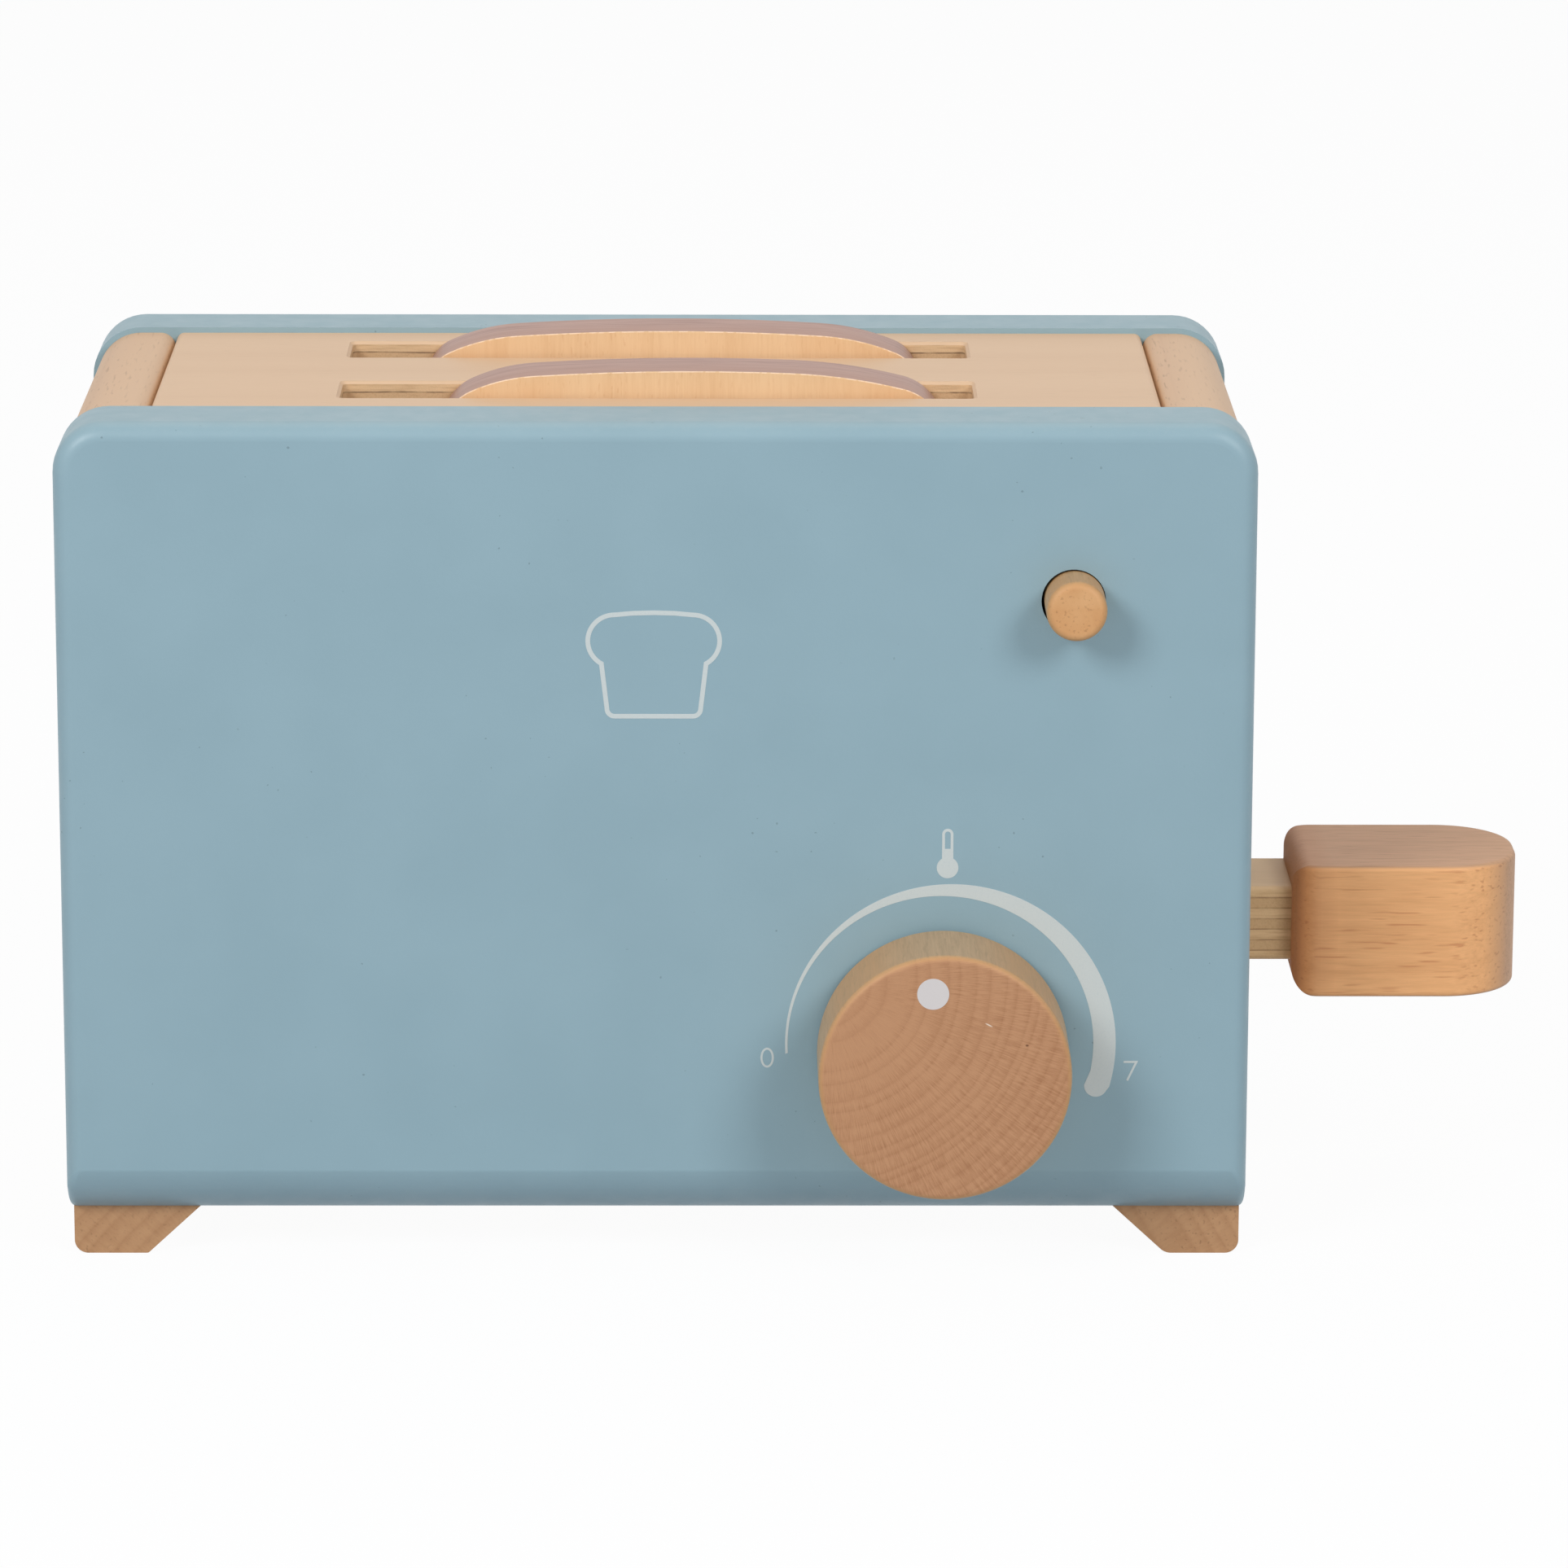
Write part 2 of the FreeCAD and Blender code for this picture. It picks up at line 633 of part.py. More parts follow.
def coil(label, radius, wire, turns, length, placement):
    """A compression spring with closed, flat ends, drawn as a chain of straight six-sided rods."""
    steps = 12
    rise = number(f"{length} - {wire}")
    active = int(number(turns)) * steps
    closed = steps
    total = active + 2 * closed
    lift = number(wire) * 1.02
    pitch = (rise - 2 * lift) / active
    height = 0
    path = []
    for step in range(total + 1):
        angle = 2 * math.pi * step / steps
        across = number(radius) * math.cos(angle)
        back = number(radius) * math.sin(angle)
        path.append(FreeCAD.Vector(across, back, number(wire) / 2 + height))
        height += lift / closed if step < closed or step >= total - closed else pitch
    rings = []
    for step, spot in enumerate(path):
        before = path[max(step - 1, 0)]
        after = path[min(step + 1, total)]
        forward = (after - before).normalize()
        outward = FreeCAD.Vector(spot.x, spot.y, 0)
        outward = (outward - forward * outward.dot(forward)).normalize()
        upward = forward.cross(outward)
        stretch = 1 / math.cos(math.pi / steps)
        corners = []
        for side in range(6):
            turn = math.pi * (side + 0.5) / 3
            reach = number(wire) / 2
            corners.append(
                spot + outward * (reach * stretch * math.cos(turn)) + upward * (reach * math.sin(turn))
            )
        rings.append(corners)
    faces = [
        Part.Face(Part.makePolygon(rings[0][::-1] + [rings[0][-1]])),
        Part.Face(Part.makePolygon(rings[-1] + [rings[-1][0]])),
    ]
    for low, high in zip(rings, rings[1:]):
        for side in range(6):
            after = (side + 1) % 6
            faces.append(Part.Face(Part.makePolygon([low[side], low[after], high[after], low[side]])))
            faces.append(Part.Face(Part.makePolygon([low[side], high[after], high[side], low[side]])))
    solid = Part.makeSolid(Part.makeShell(faces))
    if solid.Volume < 0:
        solid.reverse()
    feature = doc.addObject("Part::Feature", label)
    feature.Label = label
    feature.Shape = solid
    feature.Placement = placement
    pieces.append(feature)
    return feature


def spot(across, back, up):
    """A point of the case, in the toaster's own frame."""
    return FreeCAD.Vector(number(f"{across} - origin_across"), number(f"{back} - origin_back"), number(up))


SPRING_FLOOR = f"{WOOD_BOTTOM} + board_thickness"
for name, across in (("left_lift_spring", "-rod_at"), ("right_lift_spring", "rod_at")):
    coil(
        name,
        "spring_radius",
        "spring_wire",
        "spring_turns",
        f"carriage_bottom - ({SPRING_FLOOR})",
        FreeCAD.Placement(spot(across, MIDDLE, SPRING_FLOOR), FreeCAD.Rotation()),
    )

# ---- carriage and lever --------------------------------------------------------------------------

HALF_DEPTH = "carriage_depth / 2"
HALF_NECK = "neck_depth / 2"
carriage_board = prism(
    "carriage_board",
    "XY_Plane",
    [
        ("-carriage_half_width", f"-{HALF_DEPTH}"),
        ("carriage_half_width", f"-{HALF_DEPTH}"),
        ("carriage_half_width", f"-{HALF_NECK}"),
        ("neck_end", f"-{HALF_NECK}"),
        ("neck_end", "-arm_width / 2"),
        ("handle_start", "-arm_width / 2"),
        ("handle_start", "-tenon_width / 2"),
        ("handle_start + tenon_length", "-tenon_width / 2"),
        ("handle_start + tenon_length", "tenon_width / 2"),
        ("handle_start", "tenon_width / 2"),
        ("handle_start", "arm_width / 2"),
        ("neck_end", "arm_width / 2"),
        ("neck_end", HALF_NECK),
        ("carriage_half_width", HALF_NECK),
        ("carriage_half_width", HALF_DEPTH),
        ("-carriage_half_width", HALF_DEPTH),
    ],
    "ply_thickness",
    back=MIDDLE,
    up="carriage_bottom",
)
grooves = new_sketch(carriage_board, "toast_grooves", "XY_Plane", "ply_thickness")
for aside, middle in (FRONT_TOAST, REAR_TOAST):
    outline(
        grooves,
        box_corners(
            f"{aside} - toast_waist / 2 - groove_play",
            f"{aside} + toast_waist / 2 + groove_play",
            f"{middle} - toast_thickness / 2 - groove_play",
            f"{middle} + toast_thickness / 2 + groove_play",
        ),
    )
cut(carriage_board, grooves, "groove_depth")
for name, low, high in (
    ("tenon_top", "ply_thickness / 2 + tenon_height / 2", "ply_thickness + tenon_height"),
    ("tenon_underside", "-tenon_height", "ply_thickness / 2 - tenon_height / 2"),
):
    side_view = new_sketch(carriage_board, name, "XZ_Plane")
    outline(side_view, box_corners("handle_start", "handle_start + tenon_length * 2", low, high))
    cut(carriage_board, side_view)
fillet(
    carriage_board,
    "arm_edge",
    lambda e: along(e, "x")
    and number("neck_end") < e.CenterOfMass.x < number("handle_start")
    and near(abs(e.CenterOfMass.y), "arm_width / 2"),
)
drill(
    carriage_board,
    "rod_holes",
    "XY_Plane",
    "0",
    [("-rod_at", "0"), ("rod_at", "0")],
    "rod_radius + rod_play",
)
PIN_ACROSS = "handle_start + tenon_length / 2"
drill(carriage_board, "pin_hole", "XY_Plane", "0", [(PIN_ACROSS, "0")], "handle_pin_radius")
STRIKE_BACK = "strike_start + strike_length * 0.75"
drill(
    carriage_board,
    "strike_screw_hole",
    "XY_Plane",
    "0",
    [("button_across", f"{STRIKE_BACK} - {MIDDLE}")],
    "strike_screw_radius",
    "strike_screw_length - strike_thickness",
)

# The handle: a beech block slid onto the arm's tenon. Its upright corners are round, with a larger
# radius at the free end, and so are the two corners that face the case in the front view.
lever_handle = prism(
    "lever_handle",
    "XZ_Plane",
    box_corners("0", "handle_length", "0", "handle_height"),
    "handle_depth",
    across="handle_start",
    back=f"{MIDDLE} - handle_forward - handle_depth / 2",
    up=f"{ARM_MIDDLE_UP} - handle_height / 2",
)
fillet(
    lever_handle,
    "handle_outer_corner",
    lambda e: along(e, "z") and near(e.CenterOfMass.x, "handle_length"),
)
fillet(lever_handle, "handle_inner_corner", lambda e: along(e, "z") and near(e.CenterOfMass.x, "0"))
fillet(lever_handle, "handle_edge", lambda e: along(e, "x"))
for name, corners in (
    (
        "heel_low",
        [
            ("-handle_heel_low", "-handle_heel_low"),
            ("handle_heel_low", "-handle_heel_low"),
            ("handle_heel_low", "0", "-handle_heel_low"),
            ("0", "handle_heel_low"),
            ("-handle_heel_low", "handle_heel_low"),
        ],
    ),
    (
        "heel_high",
        [
            ("-handle_heel_high", "handle_height - handle_heel_high"),
            ("0", "handle_height - handle_heel_high", "-handle_heel_high"),
            ("handle_heel_high", "handle_height"),
            ("handle_heel_high", "handle_height + handle_heel_high"),
            ("-handle_heel_high", "handle_height + handle_heel_high"),
        ],
    ),
):
    heel = new_sketch(lever_handle, name, "XZ_Plane")
    outline(heel, corners)
    cut(lever_handle, heel)
tenon_hole = new_sketch(lever_handle, "tenon_hole", "YZ_Plane")
outline(
    tenon_hole,
    box_corners(
        "handle_depth / 2 + handle_forward - tenon_width / 2",
        "handle_depth / 2 + handle_forward + tenon_width / 2",
        "handle_height / 2 - tenon_height / 2",
        "handle_height / 2 + tenon_height / 2",
    ),
)
cut(lever_handle, tenon_hole, "tenon_length")
drill(
    lever_handle,
    "pin_hole",
    "XY_Plane",
    "0",
    [("tenon_length / 2", "handle_depth / 2 + handle_forward")],
    "handle_pin_radius",
    "handle_pin_length",
)
rod(
    "handle_pin",
    "XY_Plane",
    "handle_pin_radius",
    "handle_pin_length",
    across=PIN_ACROSS,
    back=MIDDLE,
    up=f"{ARM_MIDDLE_UP} - handle_height / 2",
)

# ---- slices of toast -----------------------------------------------------------------------------


def shoulder(which):
    """One end of a slice's top: its crown runs into a haunch, and the haunch into the shoulder's
    round, which meets the slice's side. Gives (across, up, radius) of both, from the side inwards."""
    crown, haunch, end = (f"{which}_{part}" for part in ("crown", "haunch", "end"))
    kept = f"(1 - {haunch} / toast_crown)"
    arc_middle = f"({crown} * {kept})"
    crown_rise = f"sqrt(toast_crown ^ 2 - {crown} ^ 2)"
    arc_up = f"(toast_height - toast_crown + {crown_rise} * {kept})"
    end_up = f"({arc_up} + sqrt({haunch} ^ 2 - ({end} - {arc_middle}) ^ 2))"
    radius = f"((toast_width / 2 - {end}) / (1 - ({end} - {arc_middle}) / {haunch}))"
    side_up = f"({end_up} - ({end_up} - {arc_up}) * {radius} / {haunch})"
    return [("toast_width / 2", side_up, radius), (end, end_up, haunch)]


def crown_spot(which):
    """Where a slice's crown ends on one side: (across, up)."""
    return f"{which}_crown", f"toast_height - toast_crown + sqrt(toast_crown ^ 2 - {which}_crown ^ 2)"


def toast(label, where, left, right):
    """A slice with a crowned top, a shoulder of its own on each side and a narrower lower part."""
    aside, middle = where
    corners = [
        ("-toast_waist / 2", "0"),
        ("toast_waist / 2", "0"),
        ("toast_waist / 2", "waist_low"),
        ("toast_width / 2", "waist_high"),
        *shoulder(right),
        (*crown_spot(right), "toast_crown"),
    ]
    # Down the left side the same arcs run the other way, so each starts where its right-hand twin ends.
    arcs = shoulder(left)
    spots = [(across, up) for across, up, _ in arcs] + [crown_spot(left)]
    radii = [radius for _, _, radius in arcs]
    corners += [(f"-({x})", up, radius) for (x, up), radius in zip(spots[:0:-1], radii[::-1])]
    corners += [
        (f"-({spots[0][0]})", spots[0][1]),
        ("-toast_width / 2", "waist_high"),
        ("-toast_waist / 2", "waist_low"),
    ]
    slice_body = prism(
        label,
        "XZ_Plane",
        corners,
        "toast_thickness",
        across=aside,
        back=f"{MIDDLE} + {middle} - toast_thickness / 2",
        up=f"{CARRIAGE_TOP} - groove_depth",
    )
    fillet(slice_body, "toast_foot", lambda e: along(e, "y") and near(e.CenterOfMass.z, "0"))
    fillet(
        slice_body,
        "waist_round",
        lambda e: along(e, "y")
        and (near(e.CenterOfMass.z, "waist_low") or near(e.CenterOfMass.z, "waist_high")),
    )
    bevel(slice_body, "toast_break", lambda e: not along(e, "y"))
    return slice_body


toast("toast_front", FRONT_TOAST, "front_left", "front_right")
toast("toast_rear", REAR_TOAST, "rear_left", "rear_right")

# ---- button --------------------------------------------------------------------------------------

BUTTON_WHERE = {"across": "button_across + button_lean", "up": "button_up"}
button_plunger = rod(
    "button_plunger",
    "XZ_Plane",
    "button_radius",
    "button_out + button_in",
    back="-button_out",
    **BUTTON_WHERE,
)
fillet(
    button_plunger,
    "button_edge",
    lambda e: isinstance(e.Curve, Part.Circle) and near(e.CenterOfMass.y, "0"),
)


def stop_ring(label, bore, **where):
    """A flat ring glued to a dowel behind the front board, so that the dowel can't come out."""
    body = new_body(label)
    sketch = new_sketch(body, "outline", "XZ_Plane")
    ring(sketch, "0", "0", "collar_radius")
    ring(sketch, "0", "0", bore)
    pad(body, sketch, "collar_thickness")
    place(body, back="plate_thickness + collar_play", **where)
    return body


stop_ring("button_collar", "button_radius", **BUTTON_WHERE)

# ---- release lever with its magnet ---------------------------------------------------------------

latch_lever = new_body("latch_lever")
stem = new_sketch(latch_lever, "stem", "YZ_Plane")
FRONT = "latch_middle - latch_thickness / 2"
REAR = "latch_middle + latch_thickness / 2"
NECK_DOWN = "sqrt(latch_bulb ^ 2 - latch_thickness ^ 2 / 4)"
BOSS_OFF = "sqrt(latch_boss ^ 2 - latch_thickness ^ 2 / 4)"
outline(
    stem,
    [
        (FRONT, "latch_foot_up"),
        ("latch_toe_end", "latch_foot_up"),
        ("latch_toe_end", TOE_TOP),
        (REAR, TOE_TOP),
        (REAR, f"latch_pivot_up - {BOSS_OFF}", "latch_boss"),
        (REAR, f"latch_pivot_up + {BOSS_OFF}"),
        (REAR, f"button_up - {NECK_DOWN}", "latch_bulb"),
        ("latch_middle", "button_up + latch_bulb", "latch_bulb"),
        (FRONT, f"button_up - {NECK_DOWN}"),
        (FRONT, f"latch_pivot_up + {BOSS_OFF}", "latch_boss"),
        (FRONT, f"latch_pivot_up - {BOSS_OFF}"),
    ],
)
pad(latch_lever, stem, "latch_width")
place(latch_lever, across="button_across - latch_width / 2")
drill(
    latch_lever,
    "pivot_hole",
    "YZ_Plane",
    "0",
    [("latch_middle", "latch_pivot_up")],
    "pin_radius + pin_play",
)
drill(
    latch_lever,
    "magnet_hole",
    "XY_Plane",
    TOE_TOP,
    [("latch_width / 2", "magnet_at")],
    "magnet_radius",
    "magnet_thickness",
)
rod(
    "latch_magnet",
    "XY_Plane",
    "magnet_radius",
    "magnet_thickness",
    across="button_across",
    back="magnet_at",
    up=f"{TOE_TOP} - magnet_thickness",
)

# The bracket's two cheeks hold the pin that the release lever rocks on.
HALF_BRACKET = "bracket_width / 2"
HALF_SLOT = "bracket_slot / 2"
latch_bracket = prism(
    "latch_bracket",
    "XY_Plane",
    [
        (f"-{HALF_BRACKET}", "0"),
        (HALF_BRACKET, "0"),
        (HALF_BRACKET, "bracket_depth"),
        (HALF_SLOT, "bracket_depth"),
        (HALF_SLOT, "bracket_web"),
        (f"-{HALF_SLOT}", "bracket_web"),
        (f"-{HALF_SLOT}", "bracket_depth"),
        (f"-{HALF_BRACKET}", "bracket_depth"),
    ],
    "bracket_height",
    across="button_across",
    back="plate_thickness",
    up="latch_pivot_up - bracket_height / 2",
)
drill(
    latch_bracket,
    "pin_holes",
    "YZ_Plane",
    "0",
    [("latch_middle - plate_thickness", "bracket_height / 2")],
    "pin_radius",
)
rod(
    "latch_pivot_pin",
    "YZ_Plane",
    "pin_radius",
    "bracket_width",
    across="button_across - bracket_width / 2",
    back="latch_middle",
    up="latch_pivot_up",
)

# The return spring lies along Y between the front board and the release lever.
coil(
    "latch_return_spring",
    "return_spring_radius",
    "return_spring_wire",
    "return_spring_turns",
    f"{FRONT} - plate_thickness",
    FreeCAD.Placement(
        spot("button_across", "plate_thickness", "return_spring_up"),
        FreeCAD.Rotation(FreeCAD.Vector(1, 0, 0), -90),
    ),
)

# The strike plate under the carriage's neck, which the magnet holds.
strike_plate = prism(
    "strike_plate",
    "XY_Plane",
    box_corners("-strike_width / 2", "strike_width / 2", "0", "strike_length"),
    "strike_thickness",
    across="button_across",
    back="strike_start",
    up="carriage_bottom - strike_thickness",
)
fillet(strike_plate, "strike_corner", lambda e: along(e, "z"))
drill(
    strike_plate,
    "screw_hole",
    "XY_Plane",
    "0",
    [("0", "strike_length * 0.75")],
    "strike_screw_radius",
)
bevel(
    strike_plate,
    "strike_thickness * 0.99",
    lambda e: isinstance(e.Curve, Part.Circle)
    and near(e.CenterOfMass.z, "0")
    and near(e.Curve.Radius, "strike_screw_radius"),
)


def screw_body(label, radius, head, sink, length):
    """A countersunk wood screw, point up, its head's face at the origin."""
    body = new_body(label)
    sketch = new_sketch(body, "profile", "XZ_Plane")
    outline(
        sketch,
        [
            ("0", "0"),
            (head, "0"),
            (radius, sink),
            (radius, f"{length} - {radius}"),
            ("0", length),
        ],
    )
    turned = body.newObject("PartDesign::Revolution", f"{label}_turned")
    turned.Profile = sketch
    turned.ReferenceAxis = (sketch, ["V_Axis"])
    turned.Angle = 360
    doc.recompute()
    return body


strike_screw = screw_body(
    "strike_screw",
    "strike_screw_radius",
    "strike_screw_radius + strike_thickness * 0.99",
    "strike_thickness * 0.99",
    "strike_screw_length",
)
place(strike_screw, across="button_across", back=STRIKE_BACK, up="carriage_bottom - strike_thickness")

# ---- dial ----------------------------------------------------------------------------------------

DIAL_WHERE = {"across": "dial_across", "up": "dial_up"}
dial_knob = rod(
    "dial_knob",
    "XZ_Plane",
    "dial_radius",
    "dial_thickness",
    back="-dial_thickness - dial_washer",
    **DIAL_WHERE,
)
fillet(dial_knob, "dial_edge", lambda e: isinstance(e.Curve, Part.Circle))
drill(dial_knob, "shaft_hole", "XZ_Plane", "-dial_thickness", [("0", "0")], "shaft_radius", "shaft_socket")
rod(
    "dial_shaft",
    "XZ_Plane",
    "shaft_radius",
    "shaft_socket + dial_washer + shaft_in",
    back="-shaft_socket - dial_washer",
    **DIAL_WHERE,
)
dial_washer = new_body("dial_washer")
washer = new_sketch(dial_washer, "outline", "XZ_Plane")
ring(washer, "0", "0", "collar_radius")
ring(washer, "0", "0", "shaft_radius")
pad(dial_washer, washer, "dial_washer * 0.9")
place(dial_washer, back="-dial_washer", **DIAL_WHERE)
stop_ring("dial_collar", "shaft_radius", **DIAL_WHERE)

# ---- dowels and screws that hold the case together -----------------------------------------------


def group(label, shape_of_one, places):
    """One node of identical fastenings, each its own solid, copied from a body's shape."""
    feature = doc.addObject("Part::Feature", label)
    feature.Label = label
    copies = []
    for offset in places:
        one = shape_of_one.copy()
        one.Placement = FreeCAD.Placement(offset, FreeCAD.Rotation())
        copies.append(one)
    feature.Shape = Part.makeCompound(copies)
    pieces.append(feature)
    return feature


peg = Part.makeCylinder(
    number("peg_radius"),
    number("peg_in_plate + peg_in_block"),
    FreeCAD.Vector(0, 0, 0),
    FreeCAD.Vector(0, 1, 0),
)
peg_places = []
for side in ("-1", "1"):
    for up in ("peg_low", "peg_high"):
        across = f"{side} * {BLOCK_MIDDLE}"
        peg_places.append(spot(across, "plate_thickness - peg_in_plate", up))
        peg_places.append(spot(across, f"{BACK} - plate_thickness - peg_in_block", up))
group("panel_dowels", peg, peg_places)

screw = screw_body(
    "foot_screw_pattern",
    "screw_radius",
    "screw_head",
    "screw_head - screw_radius",
    "screw_length",
)
pieces.remove(screw)
screw_places = []
for side in ("-1", "1"):
    across = f"{side} * {BLOCK_MIDDLE}"
    screw_places.append(spot(across, "foot_back + screw_from_end", "screw_sink"))
    screw_places.append(spot(across, f"{BACK} - foot_back - screw_from_end", "screw_sink"))
group("foot_screws", screw.Shape, screw_places)

# ---- check and write -----------------------------------------------------------------------------

doc.recompute()
for thing in doc.Objects:
    if {"Invalid", "Error"} & set(thing.State):
        raise RuntimeError(f"{thing.Name} failed: {thing.State}")
os.makedirs("parts", exist_ok=True)
low = FreeCAD.Vector(1e9, 1e9, 1e9)
high = -low
for piece in pieces:
    shape = piece.Shape
    if shape.isNull() or not shape.isValid():
        raise RuntimeError(f"{piece.Label} has no valid shape")
    shape.exportStep(f"parts/{piece.Label}.step")
    box = shape.optimalBoundingBox()
    low = FreeCAD.Vector(min(low.x, box.XMin), min(low.y, box.YMin), min(low.z, box.ZMin))
    high = FreeCAD.Vector(max(high.x, box.XMax), max(high.y, box.YMax), max(high.z, box.ZMax))
    print(f"{piece.Label:22s} {shape.Volume:10.1f} mm3  {len(shape.Solids)} solids  {len(shape.Faces)} faces")
print("whole toaster:", low, high)
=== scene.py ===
# %% [markdown]
# # A wooden toy toaster
# The solids come from the workshop drawing: two painted boards, beech side blocks, a birch top
# with its two slots, the sliding carriage with its lever, and the catch. This lesson gives each of
# them its finish, winds one spring, adds the white printing and lights the whole.
# Lengths are in metres, as Blender likes them, and many values are written as so many `MM`.

# %% Load the imported model
import math

import bmesh
import bpy
from mathutils import Matrix, Vector


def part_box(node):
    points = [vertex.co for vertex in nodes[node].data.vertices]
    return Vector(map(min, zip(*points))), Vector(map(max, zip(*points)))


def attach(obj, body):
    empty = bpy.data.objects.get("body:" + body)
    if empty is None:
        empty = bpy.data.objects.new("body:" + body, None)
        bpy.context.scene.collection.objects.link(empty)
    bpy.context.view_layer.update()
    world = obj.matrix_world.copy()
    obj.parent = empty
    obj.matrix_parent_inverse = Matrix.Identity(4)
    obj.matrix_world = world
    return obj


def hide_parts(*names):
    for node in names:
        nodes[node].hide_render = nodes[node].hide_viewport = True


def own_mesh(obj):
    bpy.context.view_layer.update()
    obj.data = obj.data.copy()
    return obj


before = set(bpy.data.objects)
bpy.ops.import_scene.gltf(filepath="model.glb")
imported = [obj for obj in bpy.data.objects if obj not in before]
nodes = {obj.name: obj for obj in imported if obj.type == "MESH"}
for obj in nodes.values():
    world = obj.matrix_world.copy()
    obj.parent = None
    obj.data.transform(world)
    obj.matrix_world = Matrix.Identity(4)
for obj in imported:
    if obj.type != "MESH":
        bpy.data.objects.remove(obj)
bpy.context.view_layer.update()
MM = 0.001

# %% [markdown]
# ## The camera
# The toaster is seen from a little above and almost square on, from more than a metre away, so a
# long lens suits it. The camera's own axes are built from three plain angles: how far it turns,
# how far it looks down, and how little it leans. A matrix made of those axes is exact, where a
# camera that tracks a target would hide the lean.

# %% Camera
IMAGE_PIXELS = 1926
FOCAL_PIXELS = 9272.0
CAMERA_AT = Vector((-0.01435, -1.2049, 0.3672))
TURN = math.radians(0.552)
LOOK_DOWN = math.radians(13.863)
LEAN = math.radians(-0.167)

forward = Vector(
    (
        math.sin(TURN) * math.cos(LOOK_DOWN),
        math.cos(TURN) * math.cos(LOOK_DOWN),
        -math.sin(LOOK_DOWN),
    )
)
level = Vector((math.cos(TURN), -math.sin(TURN), 0))
down = forward.cross(level)
right = level * math.cos(LEAN) + down * math.sin(LEAN)
down = down * math.cos(LEAN) - level * math.sin(LEAN)

camera_data = bpy.data.cameras.new("camera")
camera_data.sensor_width = 36
camera_data.lens = FOCAL_PIXELS / IMAGE_PIXELS * camera_data.sensor_width
camera_data.clip_start = 0.01
camera_data.clip_end = 20
camera = bpy.data.objects.new("camera", camera_data)
own_axes = Matrix((right, -down, -forward)).transposed().to_4x4()
camera.matrix_world = Matrix.Translation(CAMERA_AT) @ own_axes
bpy.context.scene.collection.objects.link(camera)
bpy.context.scene.camera = camera
print("lens:", round(camera_data.lens, 1), "mm")

# %% [markdown]
# ## Helpers for node materials
# A node material is a small diagram. These helpers add a node, set its plain values and draw its
# links in one call, so each material below reads from top to bottom like a recipe. A link is
# given as a socket, a value as a number or a colour.

# %% Node helpers


def srgb(red, green, blue):
    """A colour as it is written in paint programs, 0 to 255, turned into light."""
    light = []
    for part in (red, green, blue):
        value = part / 255
        light.append(value / 12.92 if value <= 0.04045 else ((value + 0.055) / 1.055) ** 2.4)
    return (*light, 1.0)


def feed(tree, socket, value):
    """Give a socket a plain value, or a link from another node's socket."""
    if isinstance(value, bpy.types.NodeSocket):
        tree.links.new(value, socket)
    else:
        socket.default_value = value


def add_node(tree, kind, inputs=None, **settings):
    """A node with its settings and its inputs, each a value or another node's socket."""
    node = tree.nodes.new(kind)
    for name, value in settings.items():
        setattr(node, name, value)
    for name, value in (inputs or {}).items():
        feed(tree, node.inputs[name], value)
    return node


def calc(tree, operation, first, second=None, third=None):
    """One step of arithmetic."""
    values = {0: first}
    if second is not None:
        values[1] = second
    if third is not None:
        values[2] = third
    return add_node(tree, "ShaderNodeMath", values, operation=operation).outputs[0]


def vector_step(tree, operation, inputs):
    """One step of arithmetic with places."""
    return add_node(tree, "ShaderNodeVectorMath", inputs, operation=operation).outputs[0]


def remap(tree, value, low, high, to_low=0.0, to_high=1.0):
    """Stretch a range of values, and clamp what lies outside it."""
    node = add_node(
        tree,
        "ShaderNodeMapRange",
        {"Value": value, "From Min": low, "From Max": high, "To Min": to_low, "To Max": to_high},
        clamp=True,
    )
    return node.outputs["Result"]


def mix(tree, factor, first, second):
    """Two colours mixed by a factor. The node's colours go in at 6 and 7 and come out at 2."""
    node = add_node(tree, "ShaderNodeMix", data_type="RGBA")
    for index, value in ((0, factor), (6, first), (7, second)):
        feed(tree, node.inputs[index], value)
    return node.outputs[2]


def noise(tree, place, scale, detail, roughness=0.5):
    """Smooth random values; scale is the number of blobs in a millimetre."""
    node = add_node(
        tree,
        "ShaderNodeTexNoise",
        {"Vector": place, "Scale": scale, "Detail": detail, "Roughness": roughness},
    )
    return node.outputs["Fac"]


print("helpers ready")

# %% [markdown]
# ## Places on a piece
# Every piece keeps its object coordinates when it moves, so a pattern drawn in them stays in the
# wood. The group turns them into millimetres and lays their Z along the grain. `Pith` says where
# the middle of the tree was, seen from the piece: far away it gives nearly straight lines, close
# by it gives rings.

# %% Group: coordinates along the grain


def new_group(name, inputs, outputs):
    """A shader node group with named sockets: (name, kind, default)."""
    group = bpy.data.node_groups.new(name, "ShaderNodeTree")
    for label, kind, default in inputs:
        kind = f"NodeSocket{kind}"
        socket = group.interface.new_socket(name=label, in_out="INPUT", socket_type=kind)
        socket.default_value = default
    for label, kind in outputs:
        kind = f"NodeSocket{kind}"
        group.interface.new_socket(name=label, in_out="OUTPUT", socket_type=kind)
    source = group.nodes.new("NodeGroupInput")
    sink = group.nodes.new("NodeGroupOutput")
    return group, source.outputs, sink.inputs


def use_group(tree, group, inputs=None):
    """A copy of a group in a material, with its own values."""
    node = tree.nodes.new("ShaderNodeGroup")
    node.node_tree = group
    for name, value in (inputs or {}).items():
        feed(tree, node.inputs[name], value)
    return node.outputs


